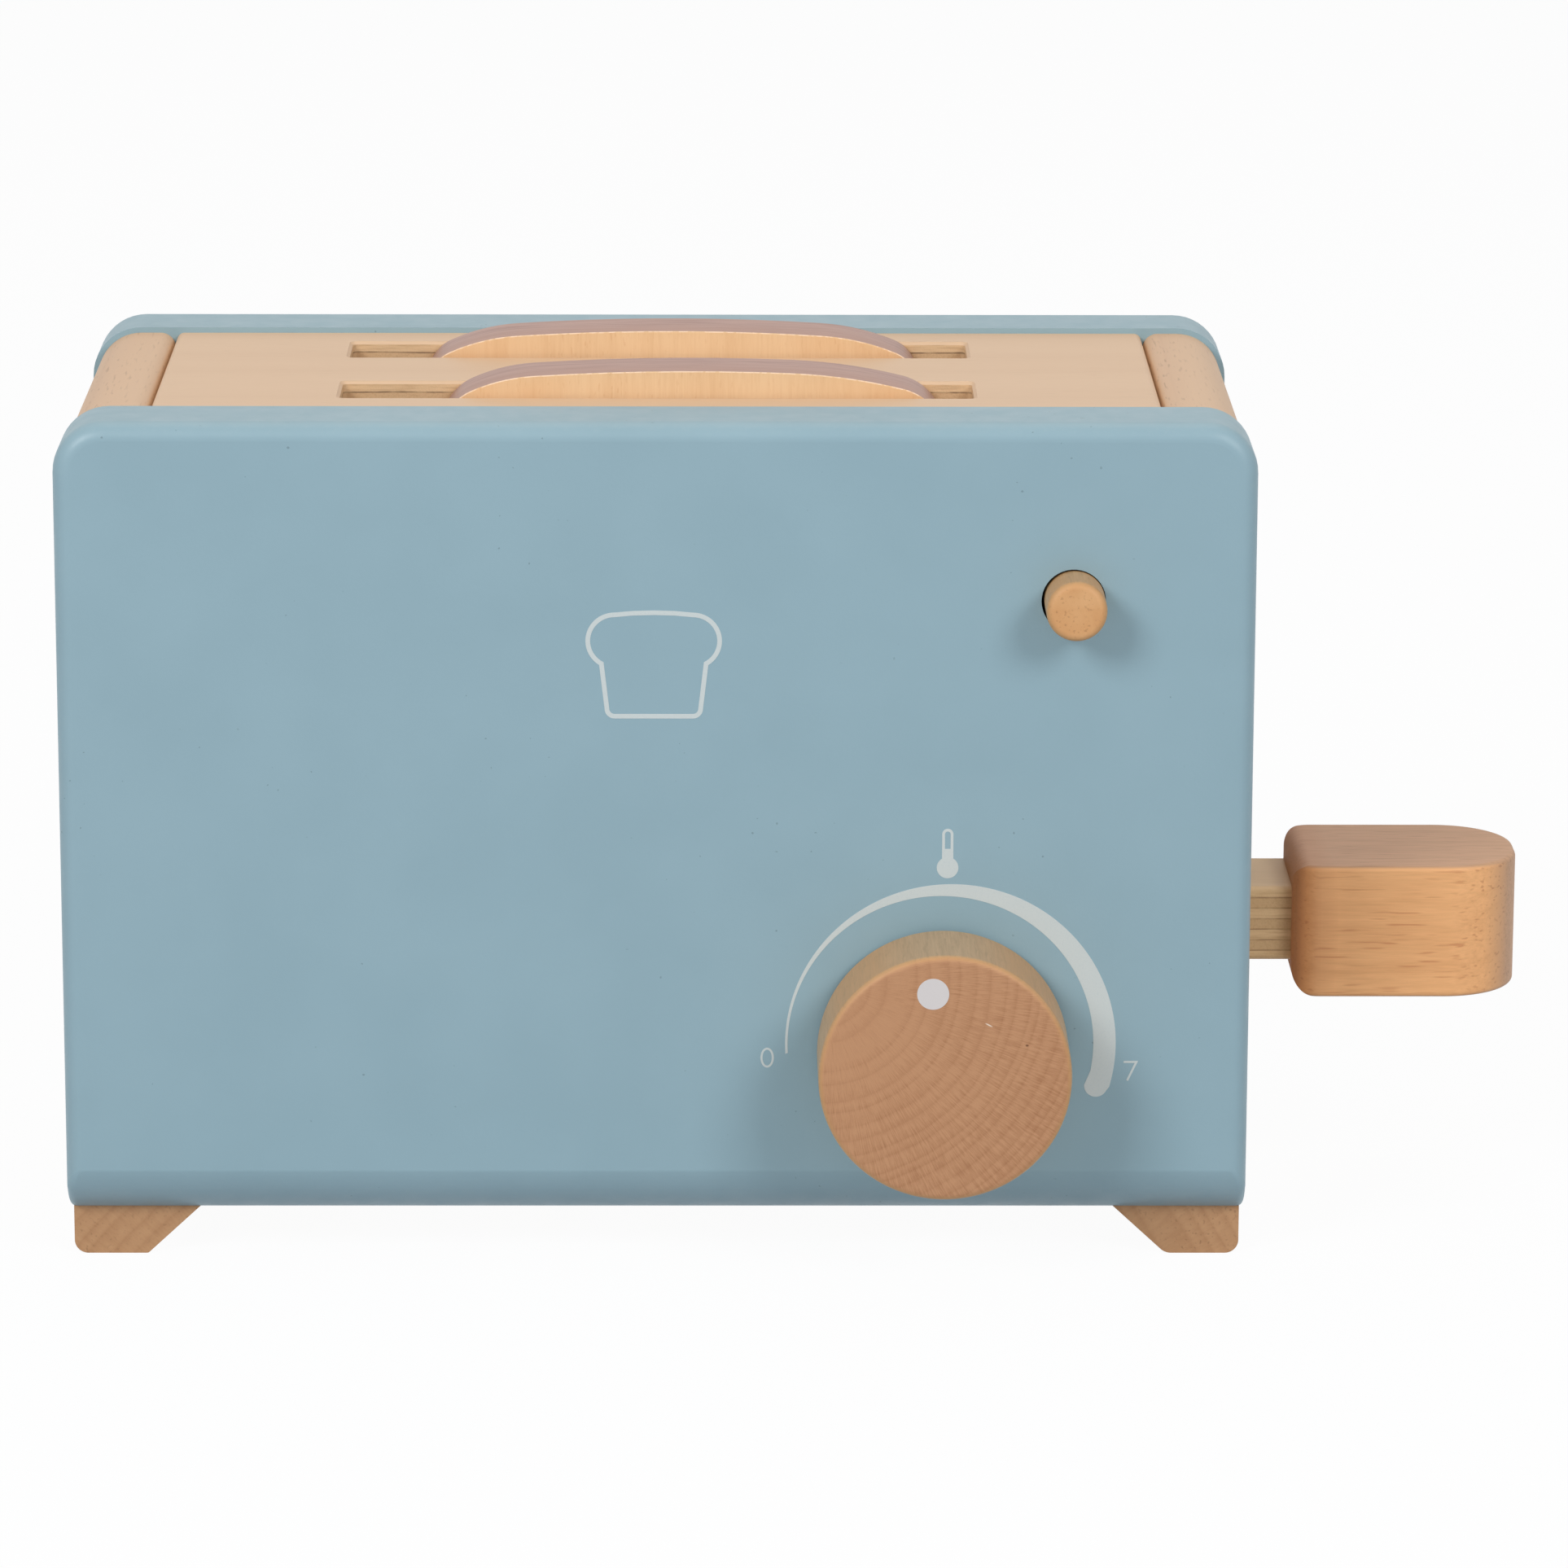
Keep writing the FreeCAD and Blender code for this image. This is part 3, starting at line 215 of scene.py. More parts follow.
GRAIN_PLACE, given, wanted = new_group(
    "grain_place",
    [("Turn", "Vector", (0, 0, 0)), ("Pith", "Vector", (0, 0, 0))],
    [("Place", "Vector"), ("Millimetres", "Vector")],
)
tree = GRAIN_PLACE
metres = add_node(tree, "ShaderNodeTexCoord").outputs["Object"]
millimetres = vector_step(tree, "SCALE", {0: metres, "Scale": 1 / MM})
turned = add_node(
    tree,
    "ShaderNodeVectorRotate",
    {"Vector": millimetres, "Rotation": given["Turn"]},
    rotation_type="EULER_XYZ",
).outputs["Vector"]
placed = vector_step(tree, "SUBTRACT", {0: turned, 1: given["Pith"]})
tree.links.new(placed, wanted["Place"])
tree.links.new(millimetres, wanted["Millimetres"])
print("group:", GRAIN_PLACE.name)

# %% [markdown]
# ## Solid wood
# Sanded beech shows four things: growth bands with a thin darker line at each year's end, a fine
# silky fibre along the grain, the short brown flecks that give beech away, and on end grain pale
# rays that run out from the pith. Each is its own mask: the bands are the distance from the pith
# with a little wobble, the fibre is noise pulled out along the grain in a fine and a coarser size,
# the flecks are noise cells pulled out less and kept only where they are strongest, and the rays
# are noise laid over the angle round the pith. A tree that grows old grows slowly, so the bands
# may crowd together and darken outwards. One recipe then serves every face of a piece, because
# the same masks are cut lengthways or across.

# %% Group: solid wood
SOLID_WOOD, given, wanted = new_group(
    "solid_wood",
    [
        ("Place", "Vector", (0, 0, 0)),
        ("Pale", "Color", srgb(214, 170, 128)),
        ("Dark", "Color", srgb(190, 138, 98)),
        ("Fleck", "Color", srgb(150, 98, 62)),
        ("Ring Width", "Float", 3.0),
        ("Crowding", "Float", 0.0),
        ("Outer Tone", "Float", 0.0),
        ("Ring Strength", "Float", 0.5),
        ("Wobble", "Float", 3.0),
        ("Ray Strength", "Float", 0.0),
        ("Fleck Strength", "Float", 0.6),
        ("Fleck Stretch", "Float", 0.12),
        ("Fibre Strength", "Float", 0.35),
        ("Cloud Strength", "Float", 0.5),
    ],
    [("Colour", "Color"), ("Height", "Float")],
)
tree = SOLID_WOOD
place = given["Place"]


def stretched(tree, place, along):
    """The place with its Z, the way of the grain, pressed together, so that patterns grow long."""
    factors = add_node(tree, "ShaderNodeCombineXYZ", {0: 1.0, 1: 1.0, 2: along}).outputs[0]
    return vector_step(tree, "MULTIPLY", {0: place, 1: factors})


slow_bends = {"Vector": stretched(tree, place, 0.12), "Scale": 0.06, "Detail": 2.0}
bend = add_node(tree, "ShaderNodeTexNoise", slow_bends).outputs["Color"]
bend = vector_step(tree, "SUBTRACT", {0: bend, 1: (0.5, 0.5, 0.5)})
bend = vector_step(tree, "SCALE", {0: bend, "Scale": given["Wobble"]})
bent = vector_step(tree, "ADD", {0: place, 1: bend})
flat = stretched(tree, bent, 0.0)
away = add_node(tree, "ShaderNodeVectorMath", {0: flat}, operation="LENGTH").outputs["Value"]

years = calc(tree, "DIVIDE", away, given["Ring Width"])
years = calc(tree, "MULTIPLY_ADD", calc(tree, "MULTIPLY", years, away), given["Crowding"], years)
YEARS_ASTRAY = 2.2  # how far good and bad years shift the bands
uneven = add_node(tree, "ShaderNodeCombineXYZ", {0: away}).outputs[0]
astray = calc(tree, "MULTIPLY", noise(tree, uneven, 0.16, 1.0), YEARS_ASTRAY)
years = calc(tree, "ADD", years, astray)
year = calc(tree, "FRACT", years)
slow_rise = calc(tree, "POWER", year, 2.5)
quick_fall = calc(tree, "POWER", calc(tree, "SUBTRACT", 1.0, year), 8.0)
band = calc(tree, "MAXIMUM", slow_rise, quick_fall)
print("bands:", len(tree.nodes), "nodes so far")

# %% Fibre, flecks and rays
fine = noise(tree, stretched(tree, place, 0.045), 3.2, 4.0, 0.65)
coarse = noise(tree, stretched(tree, place, 0.07), 1.25, 3.0, 0.6)
fibre = calc(tree, "ADD", calc(tree, "MULTIPLY", fine, 0.5), calc(tree, "MULTIPLY", coarse, 0.5))
broad = noise(tree, stretched(tree, place, 0.1), 0.1, 2.0)
fleck_place = stretched(tree, place, given["Fleck Stretch"])
fleck = remap(tree, noise(tree, fleck_place, 2.0, 1.0, 0.3), 0.62, 0.75)
share = remap(tree, noise(tree, stretched(tree, place, 0.1), 0.05, 1.0), 0.38, 0.62, 0.3, 1.0)
fleck = calc(tree, "MULTIPLY", fleck, share)

RAYS_ROUND = 75.0  # steps of the pattern over one radian, so that a ray is narrow
RAY_LENGTH = 0.15  # steps of the pattern over one millimetre outwards, so that it is long
parts = add_node(tree, "ShaderNodeSeparateXYZ", {0: bent}).outputs
angle = calc(tree, "ARCTAN2", parts[1], parts[0])
round_pith = calc(tree, "MULTIPLY", angle, RAYS_ROUND)
outwards = calc(tree, "MULTIPLY", away, RAY_LENGTH)
fan = add_node(tree, "ShaderNodeCombineXYZ", {0: round_pith, 1: outwards}).outputs[0]
ray = noise(tree, fan, 2.0, 2.0, 0.6)
print("fibre, flecks and rays:", len(tree.nodes), "nodes so far")

# %% The wood's tone and height
MIDDLE_AGE = 22.0  # millimetres from the pith: the outer tone is paler within, darker beyond
tone = calc(tree, "MULTIPLY", band, given["Ring Strength"])
for mask, level, strength in (
    (ray, 0.5, "Ray Strength"),
    (fibre, 0.5, "Fibre Strength"),
    (broad, 0.35, "Cloud Strength"),
    (away, MIDDLE_AGE, "Outer Tone"),
):
    tone = calc(tree, "MULTIPLY_ADD", calc(tree, "SUBTRACT", mask, level), given[strength], tone)
wood = mix(tree, remap(tree, tone, 0.0, 1.0), given["Pale"], given["Dark"])
wood = mix(tree, calc(tree, "MULTIPLY", fleck, given["Fleck Strength"]), wood, given["Fleck"])
tree.links.new(wood, wanted["Colour"])
raised = calc(tree, "MULTIPLY", fibre, 0.6)
height = calc(tree, "SUBTRACT", raised, calc(tree, "MULTIPLY", fleck, 0.15))
tree.links.new(height, wanted["Height"])
print("group:", SOLID_WOOD.name)

# %% [markdown]
# ## Rounded edges
# Rounded edges get a colour of their own. On the painted boards it is paler, partly thinner paint
# and partly a painted highlight; on the dial and the button it is a rim colour. Blender's Bevel
# node would find edges too, but it is slow and the export can't read it, so the group compares the
# surface's own direction with the three axes instead: on a rounded edge the direction lies between
# two axes, on a face it lies along one.

# %% Group: rounded edges
EDGE_MASK, given, wanted = new_group("edge_mask", [("Width", "Float", 0.9)], [("Edge", "Float")])
tree = EDGE_MASK
normal = add_node(tree, "ShaderNodeTexCoord").outputs["Normal"]
straight = vector_step(tree, "ABSOLUTE", {0: normal})
parts = add_node(tree, "ShaderNodeSeparateXYZ", {0: straight}).outputs
largest = calc(tree, "MAXIMUM", calc(tree, "MAXIMUM", parts[0], parts[1]), parts[2])
ALMOST_FLAT = 0.995
edge = remap(tree, largest, ALMOST_FLAT, given["Width"])
tree.links.new(edge, wanted["Edge"])
print("group:", EDGE_MASK.name)

# %% [markdown]
# ## Materials
# A material here is always the same last step: a Principled BSDF whose colour, roughness and
# bump come from the masks above. `finish` makes that step, so each recipe below only says what is
# special about its own surface.

# %% Finish helper


def shade(colour, factor):
    """The same colour, darker or lighter."""
    return tuple(part * factor for part in colour[:3]) + (1.0,)


def new_material(name):
    """An empty node material and its tree."""
    material = bpy.data.materials.new(name)
    material.use_nodes = True
    material.node_tree.nodes.clear()
    return material, material.node_tree


def finish(tree, colour, roughness, height, bump, depth, metallic=0.0, specular=0.5):
    """The shader, with its fine relief, and the material's output. Depth is in metres."""
    relief = {"Height": height, "Strength": bump, "Distance": depth}
    surface = {
        "Base Color": colour,
        "Roughness": roughness,
        "Metallic": metallic,
        "Specular IOR Level": specular,
        "Normal": add_node(tree, "ShaderNodeBump", relief).outputs["Normal"],
    }
    shader = add_node(tree, "ShaderNodeBsdfPrincipled", surface)
    add_node(tree, "ShaderNodeOutputMaterial", {"Surface": shader.outputs[0]})


def facing(tree):
    """The three parts of the surface's own direction, which don't change when the piece moves."""
    normal = add_node(tree, "ShaderNodeTexCoord").outputs["Normal"]
    return add_node(tree, "ShaderNodeSeparateXYZ", {0: normal}).outputs


print("finish ready")

# %% [markdown]
# ## Grey-blue paint
# The two boards are sprayed with a satin water-based paint. Close up it isn't one flat colour:
# it has a faint cloudiness, a few dust specks and a very fine orange peel, and on the rounded
# edges it is paler, partly where it thins out and partly as a painted highlight.

# %% Paint
PAINT = srgb(148, 178, 190)
PAINT_DEEP = srgb(145, 175, 187)
PAINT_THIN_AND_HIGHLIGHT = srgb(158, 184, 193)
PAINT_SPECK = srgb(100, 122, 132)


def painted(name):
    """A board's satin paint, a little cloudy, paler on its rounded edges: partly thinner paint,
    partly a painted highlight.
    """
    material, tree = new_material(name)
    where = use_group(tree, GRAIN_PLACE)["Millimetres"]
    cloud = noise(tree, where, 0.05, 3.0)
    colour = mix(tree, remap(tree, cloud, 0.35, 0.65), PAINT, PAINT_DEEP)
    # Rounded edges are paler in speckles: partly thinner paint, partly a painted highlight.
    edge = use_group(tree, EDGE_MASK, {"Width": 0.8})["Edge"]
    edge_speckle = remap(tree, noise(tree, where, 0.9, 4.0, 0.7), 0.5, 0.72)
    worn_and_highlit = calc(tree, "MULTIPLY", edge, edge_speckle)
    colour = mix(tree, calc(tree, "MULTIPLY", worn_and_highlit, 0.3), colour, PAINT_THIN_AND_HIGHLIGHT)
    speck = remap(tree, noise(tree, where, 1.3, 0.0), 0.83, 0.85)
    dusty = remap(tree, noise(tree, where, 0.06, 1.0), 0.5, 0.6)
    speck = calc(tree, "MULTIPLY", speck, dusty)
    colour = mix(tree, calc(tree, "MULTIPLY", speck, 0.55), colour, PAINT_SPECK)
    fine_peel = noise(tree, where, 6.0, 1.0)
    peel = calc(tree, "MULTIPLY_ADD", fine_peel, 0.4, noise(tree, where, 1.6, 2.0))
    rough = remap(tree, noise(tree, where, 0.3, 2.0), 0.3, 0.7, 0.4, 0.5)
    finish(tree, colour, rough, peel, bump=0.12, depth=0.12 * MM)
    return material


print("paint ready")

# %% [markdown]
# ## Beech, birch plywood and toast
# Beech pieces share the solid wood group and differ in the direction of their grain, the place of
# their pith and their tone. Plywood shows its thin layers only on its edges: the layers are
# stripes across the board's thickness, kept where the surface faces sideways.

# %% Beech


def mark(tree, spot, x, z, half_length, half_width, angle=0.0):
    """A mask for a small oval mark on a forward face, all in millimetres and degrees."""
    dx = calc(tree, "SUBTRACT", spot[0], x)
    dz = calc(tree, "SUBTRACT", spot[2], z)
    lean = math.radians(angle)
    cosine, sine = math.cos(lean), math.sin(lean)
    along = calc(tree, "MULTIPLY_ADD", dx, cosine, calc(tree, "MULTIPLY", dz, sine))
    aside = calc(tree, "MULTIPLY_ADD", dz, cosine, calc(tree, "MULTIPLY", dx, -sine))
    along = calc(tree, "POWER", calc(tree, "DIVIDE", along, half_length), 2.0)
    aside = calc(tree, "POWER", calc(tree, "DIVIDE", aside, half_width), 2.0)
    return remap(tree, calc(tree, "ADD", along, aside), 1.0, 0.2)


def beech(name, turn, pith, pale, dark, rim=None, flank_shade_sheen=None, marks=(), **habit):
    """Solid beech. Turn lays the grain along Z; pith is the tree's middle in those coordinates.
    A rim is the colour that rounded edges take, a flank the painted shade and sheen of the faces
    that don't look forward, marks are small knots, scratches and darker patches with their tint and
    strength, and habit holds any of the wood group's values."""
    material, tree = new_material(name)
    where = use_group(tree, GRAIN_PLACE, {"Turn": turn, "Pith": pith})
    values = {"Place": where["Place"], "Pale": pale, "Dark": dark, "Fleck": shade(dark, 0.66)}
    for label, value in habit.items():
        values[label.replace("_", " ").title()] = value
    wood = use_group(tree, SOLID_WOOD, values)
    colour = wood["Colour"]
    spot = add_node(tree, "ShaderNodeSeparateXYZ", {0: where["Millimetres"]}).outputs
    # Faces that don't look forward take the flank colour: painted shade and sheen, with grain
    # streaks.
    if flank_shade_sheen is not None:
        turned_away = remap(tree, calc(tree, "ABSOLUTE", facing(tree)[1]), 0.85, 0.5, 0.0, 0.88)
        streak = remap(tree, wood["Height"], 0.22, 0.38)
        streaked_flank_shade = mix(tree, streak, shade(flank_shade_sheen, 0.8), shade(flank_shade_sheen, 1.04))
        colour = mix(tree, turned_away, colour, streaked_flank_shade)
    if rim is not None:
        edge = use_group(tree, EDGE_MASK, {"Width": 0.84})["Edge"]
        edge = calc(tree, "MULTIPLY", edge, remap(tree, wood["Height"], 0.1, 0.4, 0.35, 0.75))
        colour = mix(tree, edge, colour, rim)
    for place, tint, strength in marks:
        colour = mix(tree, calc(tree, "MULTIPLY", mark(tree, spot, *place), strength), colour, tint)
    rough = remap(tree, wood["Height"], 0.0, 0.6, 0.58, 0.46)
    finish(tree, colour, rough, wood["Height"], bump=0.25, depth=0.12 * MM)
    return material


ALONG_X = (0, math.radians(-90), 0)
ALONG_Y = (math.radians(90), 0, 0)
ALONG_Z = (0, 0, 0)
print("beech ready")

# %% [markdown]
# Plywood: a pale face veneer with long soft grain, and layers on the edges. `thickness_axis` picks
# the coordinate that runs across the layers, and `bottom` says where the first of them starts.

# %% Plywood
VENEER = srgb(226, 194, 161)
VENEER_DARK = srgb(217, 182, 148)
PLY_PALE = srgb(220, 190, 150)
PLY_DARK = srgb(180, 147, 109)
GLUE_LINE = srgb(118, 90, 66)
LAYER_WAVE = 0.3  # millimetres that a layer strays from flat


def plywood(
    name,
    turn,
    thickness_axis,
    bottom,
    layer,
    face=VENEER,
    face_dark=VENEER_DARK,
    pale=PLY_PALE,
    dark=PLY_DARK,
    glue=GLUE_LINE,
):
    """Layered board; bottom is where its first layer starts and layer how thick one is, in
    millimetres."""
    material, tree = new_material(name)
    where = use_group(tree, GRAIN_PLACE, {"Turn": turn, "Pith": (210, 190, 0)})
    values = {
        "Place": where["Place"],
        "Pale": face,
        "Dark": face_dark,
        "Fleck": shade(face_dark, 0.8),
        "Ring Width": 14.0,
        "Ring Strength": 0.3,
        "Fleck Strength": 0.2,
        "Fibre Strength": 0.7,
    }
    veneer = use_group(tree, SOLID_WOOD, values)
    spot = add_node(tree, "ShaderNodeSeparateXYZ", {0: where["Millimetres"]}).outputs
    across = calc(tree, "SUBTRACT", spot[thickness_axis], bottom)
    wavy = calc(tree, "SUBTRACT", noise(tree, where["Millimetres"], 0.08, 1.0), 0.5)
    across = calc(tree, "MULTIPLY_ADD", wavy, LAYER_WAVE, across)

    count = calc(tree, "DIVIDE", across, layer)
    odd = calc(tree, "GREATER_THAN", calc(tree, "FRACT", calc(tree, "MULTIPLY", count, 0.5)), 0.5)
    seam = calc(tree, "ABSOLUTE", calc(tree, "SUBTRACT", calc(tree, "FRACT", count), 0.5))
    seam = remap(tree, seam, 0.4, 0.48)
    patchy = remap(tree, noise(tree, where["Millimetres"], 0.35, 2.0), 0.35, 0.6, 0.35, 0.9)

    speckle = noise(tree, where["Millimetres"], 2.6, 3.0, 0.7)
    long_streak = noise(tree, stretched(tree, where["Place"], 0.08), 2.4, 3.0, 0.6)
    texture = mix(tree, odd, long_streak, speckle)
    layered = mix(tree, calc(tree, "MULTIPLY", odd, 0.4), pale, dark)
    layered = mix(tree, remap(tree, texture, 0.45, 0.75, 0.0, 0.6), layered, dark)
    layered = mix(tree, calc(tree, "MULTIPLY", seam, patchy), layered, glue)

    sideways = remap(tree, calc(tree, "ABSOLUTE", facing(tree)[thickness_axis]), 0.75, 0.35)
    colour = mix(tree, sideways, veneer["Colour"], layered)
    rough = remap(tree, sideways, 0.0, 1.0, 0.5, 0.72)
    sawn = calc(tree, "MULTIPLY", speckle, sideways)
    height = calc(tree, "MULTIPLY_ADD", sawn, 1.6, veneer["Height"])
    finish(tree, colour, rough, height, bump=0.3, depth=0.15 * MM)
    return material


print("plywood ready")

# %% [markdown]
# Toast: a slice sawn from pale plywood whose sawn edge is painted the brown of a crust. The paint
# runs a hair over the corner, and the sprayed face is a little warmer near it.

# %% Toast
TOAST = srgb(238, 203, 160)
TOAST_DARK = srgb(221, 178, 130)
TOAST_FLECK = srgb(206, 150, 98)
TOAST_WARM = srgb(230, 174, 118)
CRUST = srgb(179, 140, 126)
CRUST_DARK = srgb(153, 112, 99)
CRUST_FRONT = srgb(173, 128, 108)
RAW_EDGE = srgb(255, 226, 198)


def toast(name):
    """A slice's finish; the solid itself says where its ends and its front edge are."""
    low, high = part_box(name)
    middle = (low[0] + high[0]) / 2 / MM
    half_width = (high[0] - low[0]) / 2 / MM
    front = low[1] / MM
    material, tree = new_material(name)
    where = use_group(tree, GRAIN_PLACE, {"Turn": ALONG_Z, "Pith": (60, 240, 0)})
    values = {
        "Place": where["Place"],
        "Pale": TOAST,
        "Dark": TOAST_DARK,
        "Fleck": TOAST_FLECK,
        "Ring Width": 5.0,
        "Ring Strength": 0.25,
        "Fleck Strength": 0.3,
        "Fleck Stretch": 0.3,
        "Fibre Strength": 1.5,
        "Cloud Strength": 0.4,
    }
    wood = use_group(tree, SOLID_WOOD, values)
    spot = add_node(tree, "ShaderNodeSeparateXYZ", {0: where["Millimetres"]}).outputs
    aside = calc(tree, "DIVIDE", calc(tree, "SUBTRACT", spot[0], middle), half_width)
    end = remap(tree, calc(tree, "ABSOLUTE", aside), 0.45, 0.95, 0.0, 0.6)
    uneven = remap(tree, noise(tree, where["Millimetres"], 0.12, 2.0), 0.3, 0.7, 0.3, 1.0)
    end = calc(tree, "MULTIPLY", end, uneven)
    face = mix(tree, end, wood["Colour"], TOAST_WARM)

    outward = calc(tree, "ABSOLUTE", facing(tree)[1])
    ragged = calc(tree, "SUBTRACT", noise(tree, where["Millimetres"], 2.2, 3.0), 0.5)
    crust = remap(tree, calc(tree, "MULTIPLY_ADD", ragged, 0.4, outward), 0.62, 0.5)
    unpainted = calc(tree, "SUBTRACT", 1.0, crust)
    rim = calc(tree, "MULTIPLY", remap(tree, outward, 0.98, 0.8), unpainted)
    broken = remap(tree, noise(tree, where["Millimetres"], 1.1, 2.0), 0.4, 0.55)
    rim = calc(tree, "MULTIPLY", rim, broken)

    streak_place = vector_step(tree, "MULTIPLY", {0: where["Millimetres"], 1: (0.07, 1.3, 0.07)})
    streak = noise(tree, streak_place, 1.0, 4.0, 0.6)
    paint = mix(tree, remap(tree, streak, 0.42, 0.68), CRUST, CRUST_DARK)
    from_front = calc(tree, "SUBTRACT", spot[1], front)
    blotch = calc(tree, "MULTIPLY", noise(tree, where["Millimetres"], 0.15, 2.0), 4.0)
    warm = remap(tree, calc(tree, "SUBTRACT", from_front, blotch), 0.0, 6.0, 0.7, 0.0)
    paint = mix(tree, warm, paint, CRUST_FRONT)
    colour = mix(tree, calc(tree, "MULTIPLY", rim, 0.8), face, RAW_EDGE)
    colour = mix(tree, crust, colour, paint)
    rough = remap(tree, crust, 0.0, 1.0, 0.6, 0.42)
    finish(tree, colour, rough, wood["Height"], bump=0.2, depth=0.12 * MM)
    return material


print("toast ready")

# %% [markdown]
# ## Metal, felt and printing ink
# The rods and springs are plain zinc-plated steel, deep inside the case. The ink is a thin
# off-white screen print that lets a little of the paint through.

# %% Metal, felt and ink


def steel(name, colour, roughness):
    """Bare metal with fine upright drawing lines and a few duller clouds."""
    material, tree = new_material(name)
    where = use_group(tree, GRAIN_PLACE)["Millimetres"]
    lines = noise(tree, stretched(tree, where, 0.05), 4.0, 3.0)
    dull = remap(tree, noise(tree, where, 0.4, 2.0), 0.4, 0.7, 0.0, 0.35)
    clouded = mix(tree, dull, colour, shade(colour, 0.7))
    rough = calc(tree, "ADD", remap(tree, lines, 0.3, 0.7, -0.05, 0.08), roughness)
    finish(tree, clouded, rough, lines, bump=0.08, depth=0.05 * MM, metallic=1.0)
    return material


def felt(name):
    """Pressed grey felt, matt and fuzzy."""
    material, tree = new_material(name)
    where = use_group(tree, GRAIN_PLACE)["Millimetres"]
    fuzz = noise(tree, where, 5.0, 4.0, 0.8)
    colour = mix(tree, fuzz, srgb(92, 90, 86), srgb(150, 146, 138))
    finish(tree, colour, 0.95, fuzz, bump=0.6, depth=0.2 * MM, specular=0.2)
    return material


def ink(name, colour, through=0.12):
    """Printing ink; through is how much of the paint shows where the film is thinnest."""
    material, tree = new_material(name)
    where = use_group(tree, GRAIN_PLACE)["Millimetres"]
    grain = noise(tree, where, 3.0, 3.0, 0.7)
    thin = remap(tree, grain, 0.5, 0.75, 0.0, through)
    finish(tree, mix(tree, thin, colour, PAINT), 0.5, grain, bump=0.15, depth=0.05 * MM)
    return material


print("metal, felt and ink ready")

# %% [markdown]
# ## Giving every solid its finish
# Grain runs from left to right in the boards and the handle, and from front to back in the blocks
# and the runners. On the turned dial and the button we look at the end of the grain, so the dial's
# pith lies close by and its rings show as arcs. One table below names the finish of each piece.

# %% Blocks, runners and inner pieces
BLOCK_PALE, BLOCK_DARK = srgb(222, 188, 154), srgb(199, 158, 125)
FOOT_PALE, FOOT_DARK = srgb(194, 149, 108), srgb(166, 119, 80)

block_wood = beech(
    "beech_block",
    ALONG_Y,
    (-160, 260, 0),
    BLOCK_PALE,
    BLOCK_DARK,
    ring_width=7.0,
    ring_strength=0.2,
    fleck_strength=0.7,
)
foot_wood = beech(
    "beech_runner",
    ALONG_Y,
    (-40, 60, 0),
    FOOT_PALE,
    FOOT_DARK,
    ring_width=2.6,
    ring_strength=0.4,
    ray_strength=0.8,
)
inner_wood = beech("beech_inside", ALONG_X, (90, 50, 0), BLOCK_PALE, BLOCK_DARK)
print("wood:", block_wood.name, foot_wood.name, inner_wood.name)

# %% [markdown]
# The handle is darker at its inner end, next to the arm. The dial has one small dark knot and a
# pale scratch, up and to the right of its middle, from which both are placed in millimetres.

# %% Handle, dial and button
HANDLE_PALE, HANDLE_DARK = srgb(251, 190, 131), srgb(214, 151, 97)
HANDLE_FLECK = srgb(182, 98, 54)
# Painted shade and sheen for the handle's faces that don't look forward.
HANDLE_FLANK_SHADE_SHEEN = srgb(200, 159, 127)
HANDLE_INNER_DARK = srgb(184, 122, 78)
KNOB_PALE, KNOB_DARK = srgb(195, 145, 106), srgb(168, 117, 79)
# Painted shade and sheen for the dial's turned side.
KNOB_FLANK_SHADE_SHEEN = srgb(198, 168, 130)
KNOT = srgb(104, 60, 36)
SCRATCH = srgb(232, 214, 196)
BUTTON_PALE, BUTTON_DARK = srgb(226, 177, 125), srgb(200, 138, 80)
# Painted shade and sheen for the button's side.
BUTTON_FLANK_SHADE_SHEEN = srgb(201, 162, 116)
RIM = srgb(208, 156, 102)

handle_low, handle_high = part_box("lever_handle")
# A darker patch at the handle's inner end, next to the arm.
inner_dark_place = (handle_low[0] / MM, (handle_low[2] + handle_high[2]) / 2 / MM, 7.5, 24.0)
handle_wood = beech(
    "beech_handle",
    ALONG_X,
    (70, 60, 0),
    HANDLE_PALE,
    HANDLE_DARK,
    flank_shade_sheen=HANDLE_FLANK_SHADE_SHEEN,
    marks=[(inner_dark_place, HANDLE_INNER_DARK, 0.4)],
    fleck=HANDLE_FLECK,
    ring_width=5.0,
    ring_strength=0.15,
    fleck_strength=0.65,
    fleck_stretch=0.08,
    fibre_strength=1.5,
    cloud_strength=0.8,
    wobble=8.0,
)

dial_low, dial_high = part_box("dial_knob")
DIAL = ((dial_low[0] + dial_high[0]) / 2, (dial_low[2] + dial_high[2]) / 2)
knot_place = (DIAL[0] / MM + 12.86, DIAL[1] / MM + 5.56, 0.3, 0.22)
scratch_place = (DIAL[0] / MM + 6.8, DIAL[1] / MM + 8.9, 0.75, 0.14, -28)
dial_wood = beech(
    "beech_dial",
    ALONG_Y,
    (3.0, -52.2, 0),
    KNOB_PALE,
    KNOB_DARK,
    rim=RIM,
    flank_shade_sheen=KNOB_FLANK_SHADE_SHEEN,
    marks=[(knot_place, KNOT, 0.9), (scratch_place, SCRATCH, 1.0)],
    ring_width=4.85,
    crowding=0.0235,
    outer_tone=0.007,
    ring_strength=0.4,
    wobble=1.2,
    ray_strength=2.2,
    fleck_strength=0.05,
    fibre_strength=0.8,
)
button_wood = beech(
    "beech_button",
    ALONG_Y,
    (41, 110, 0),
    BUTTON_PALE,
    BUTTON_DARK,
    rim=RIM,
    flank_shade_sheen=BUTTON_FLANK_SHADE_SHEEN,
    ring_width=5.0,
    ring_strength=0.15,
    ray_strength=0.3,
    fleck_strength=0.8,
    fleck_stretch=0.3,
    cloud_strength=1.4,
)
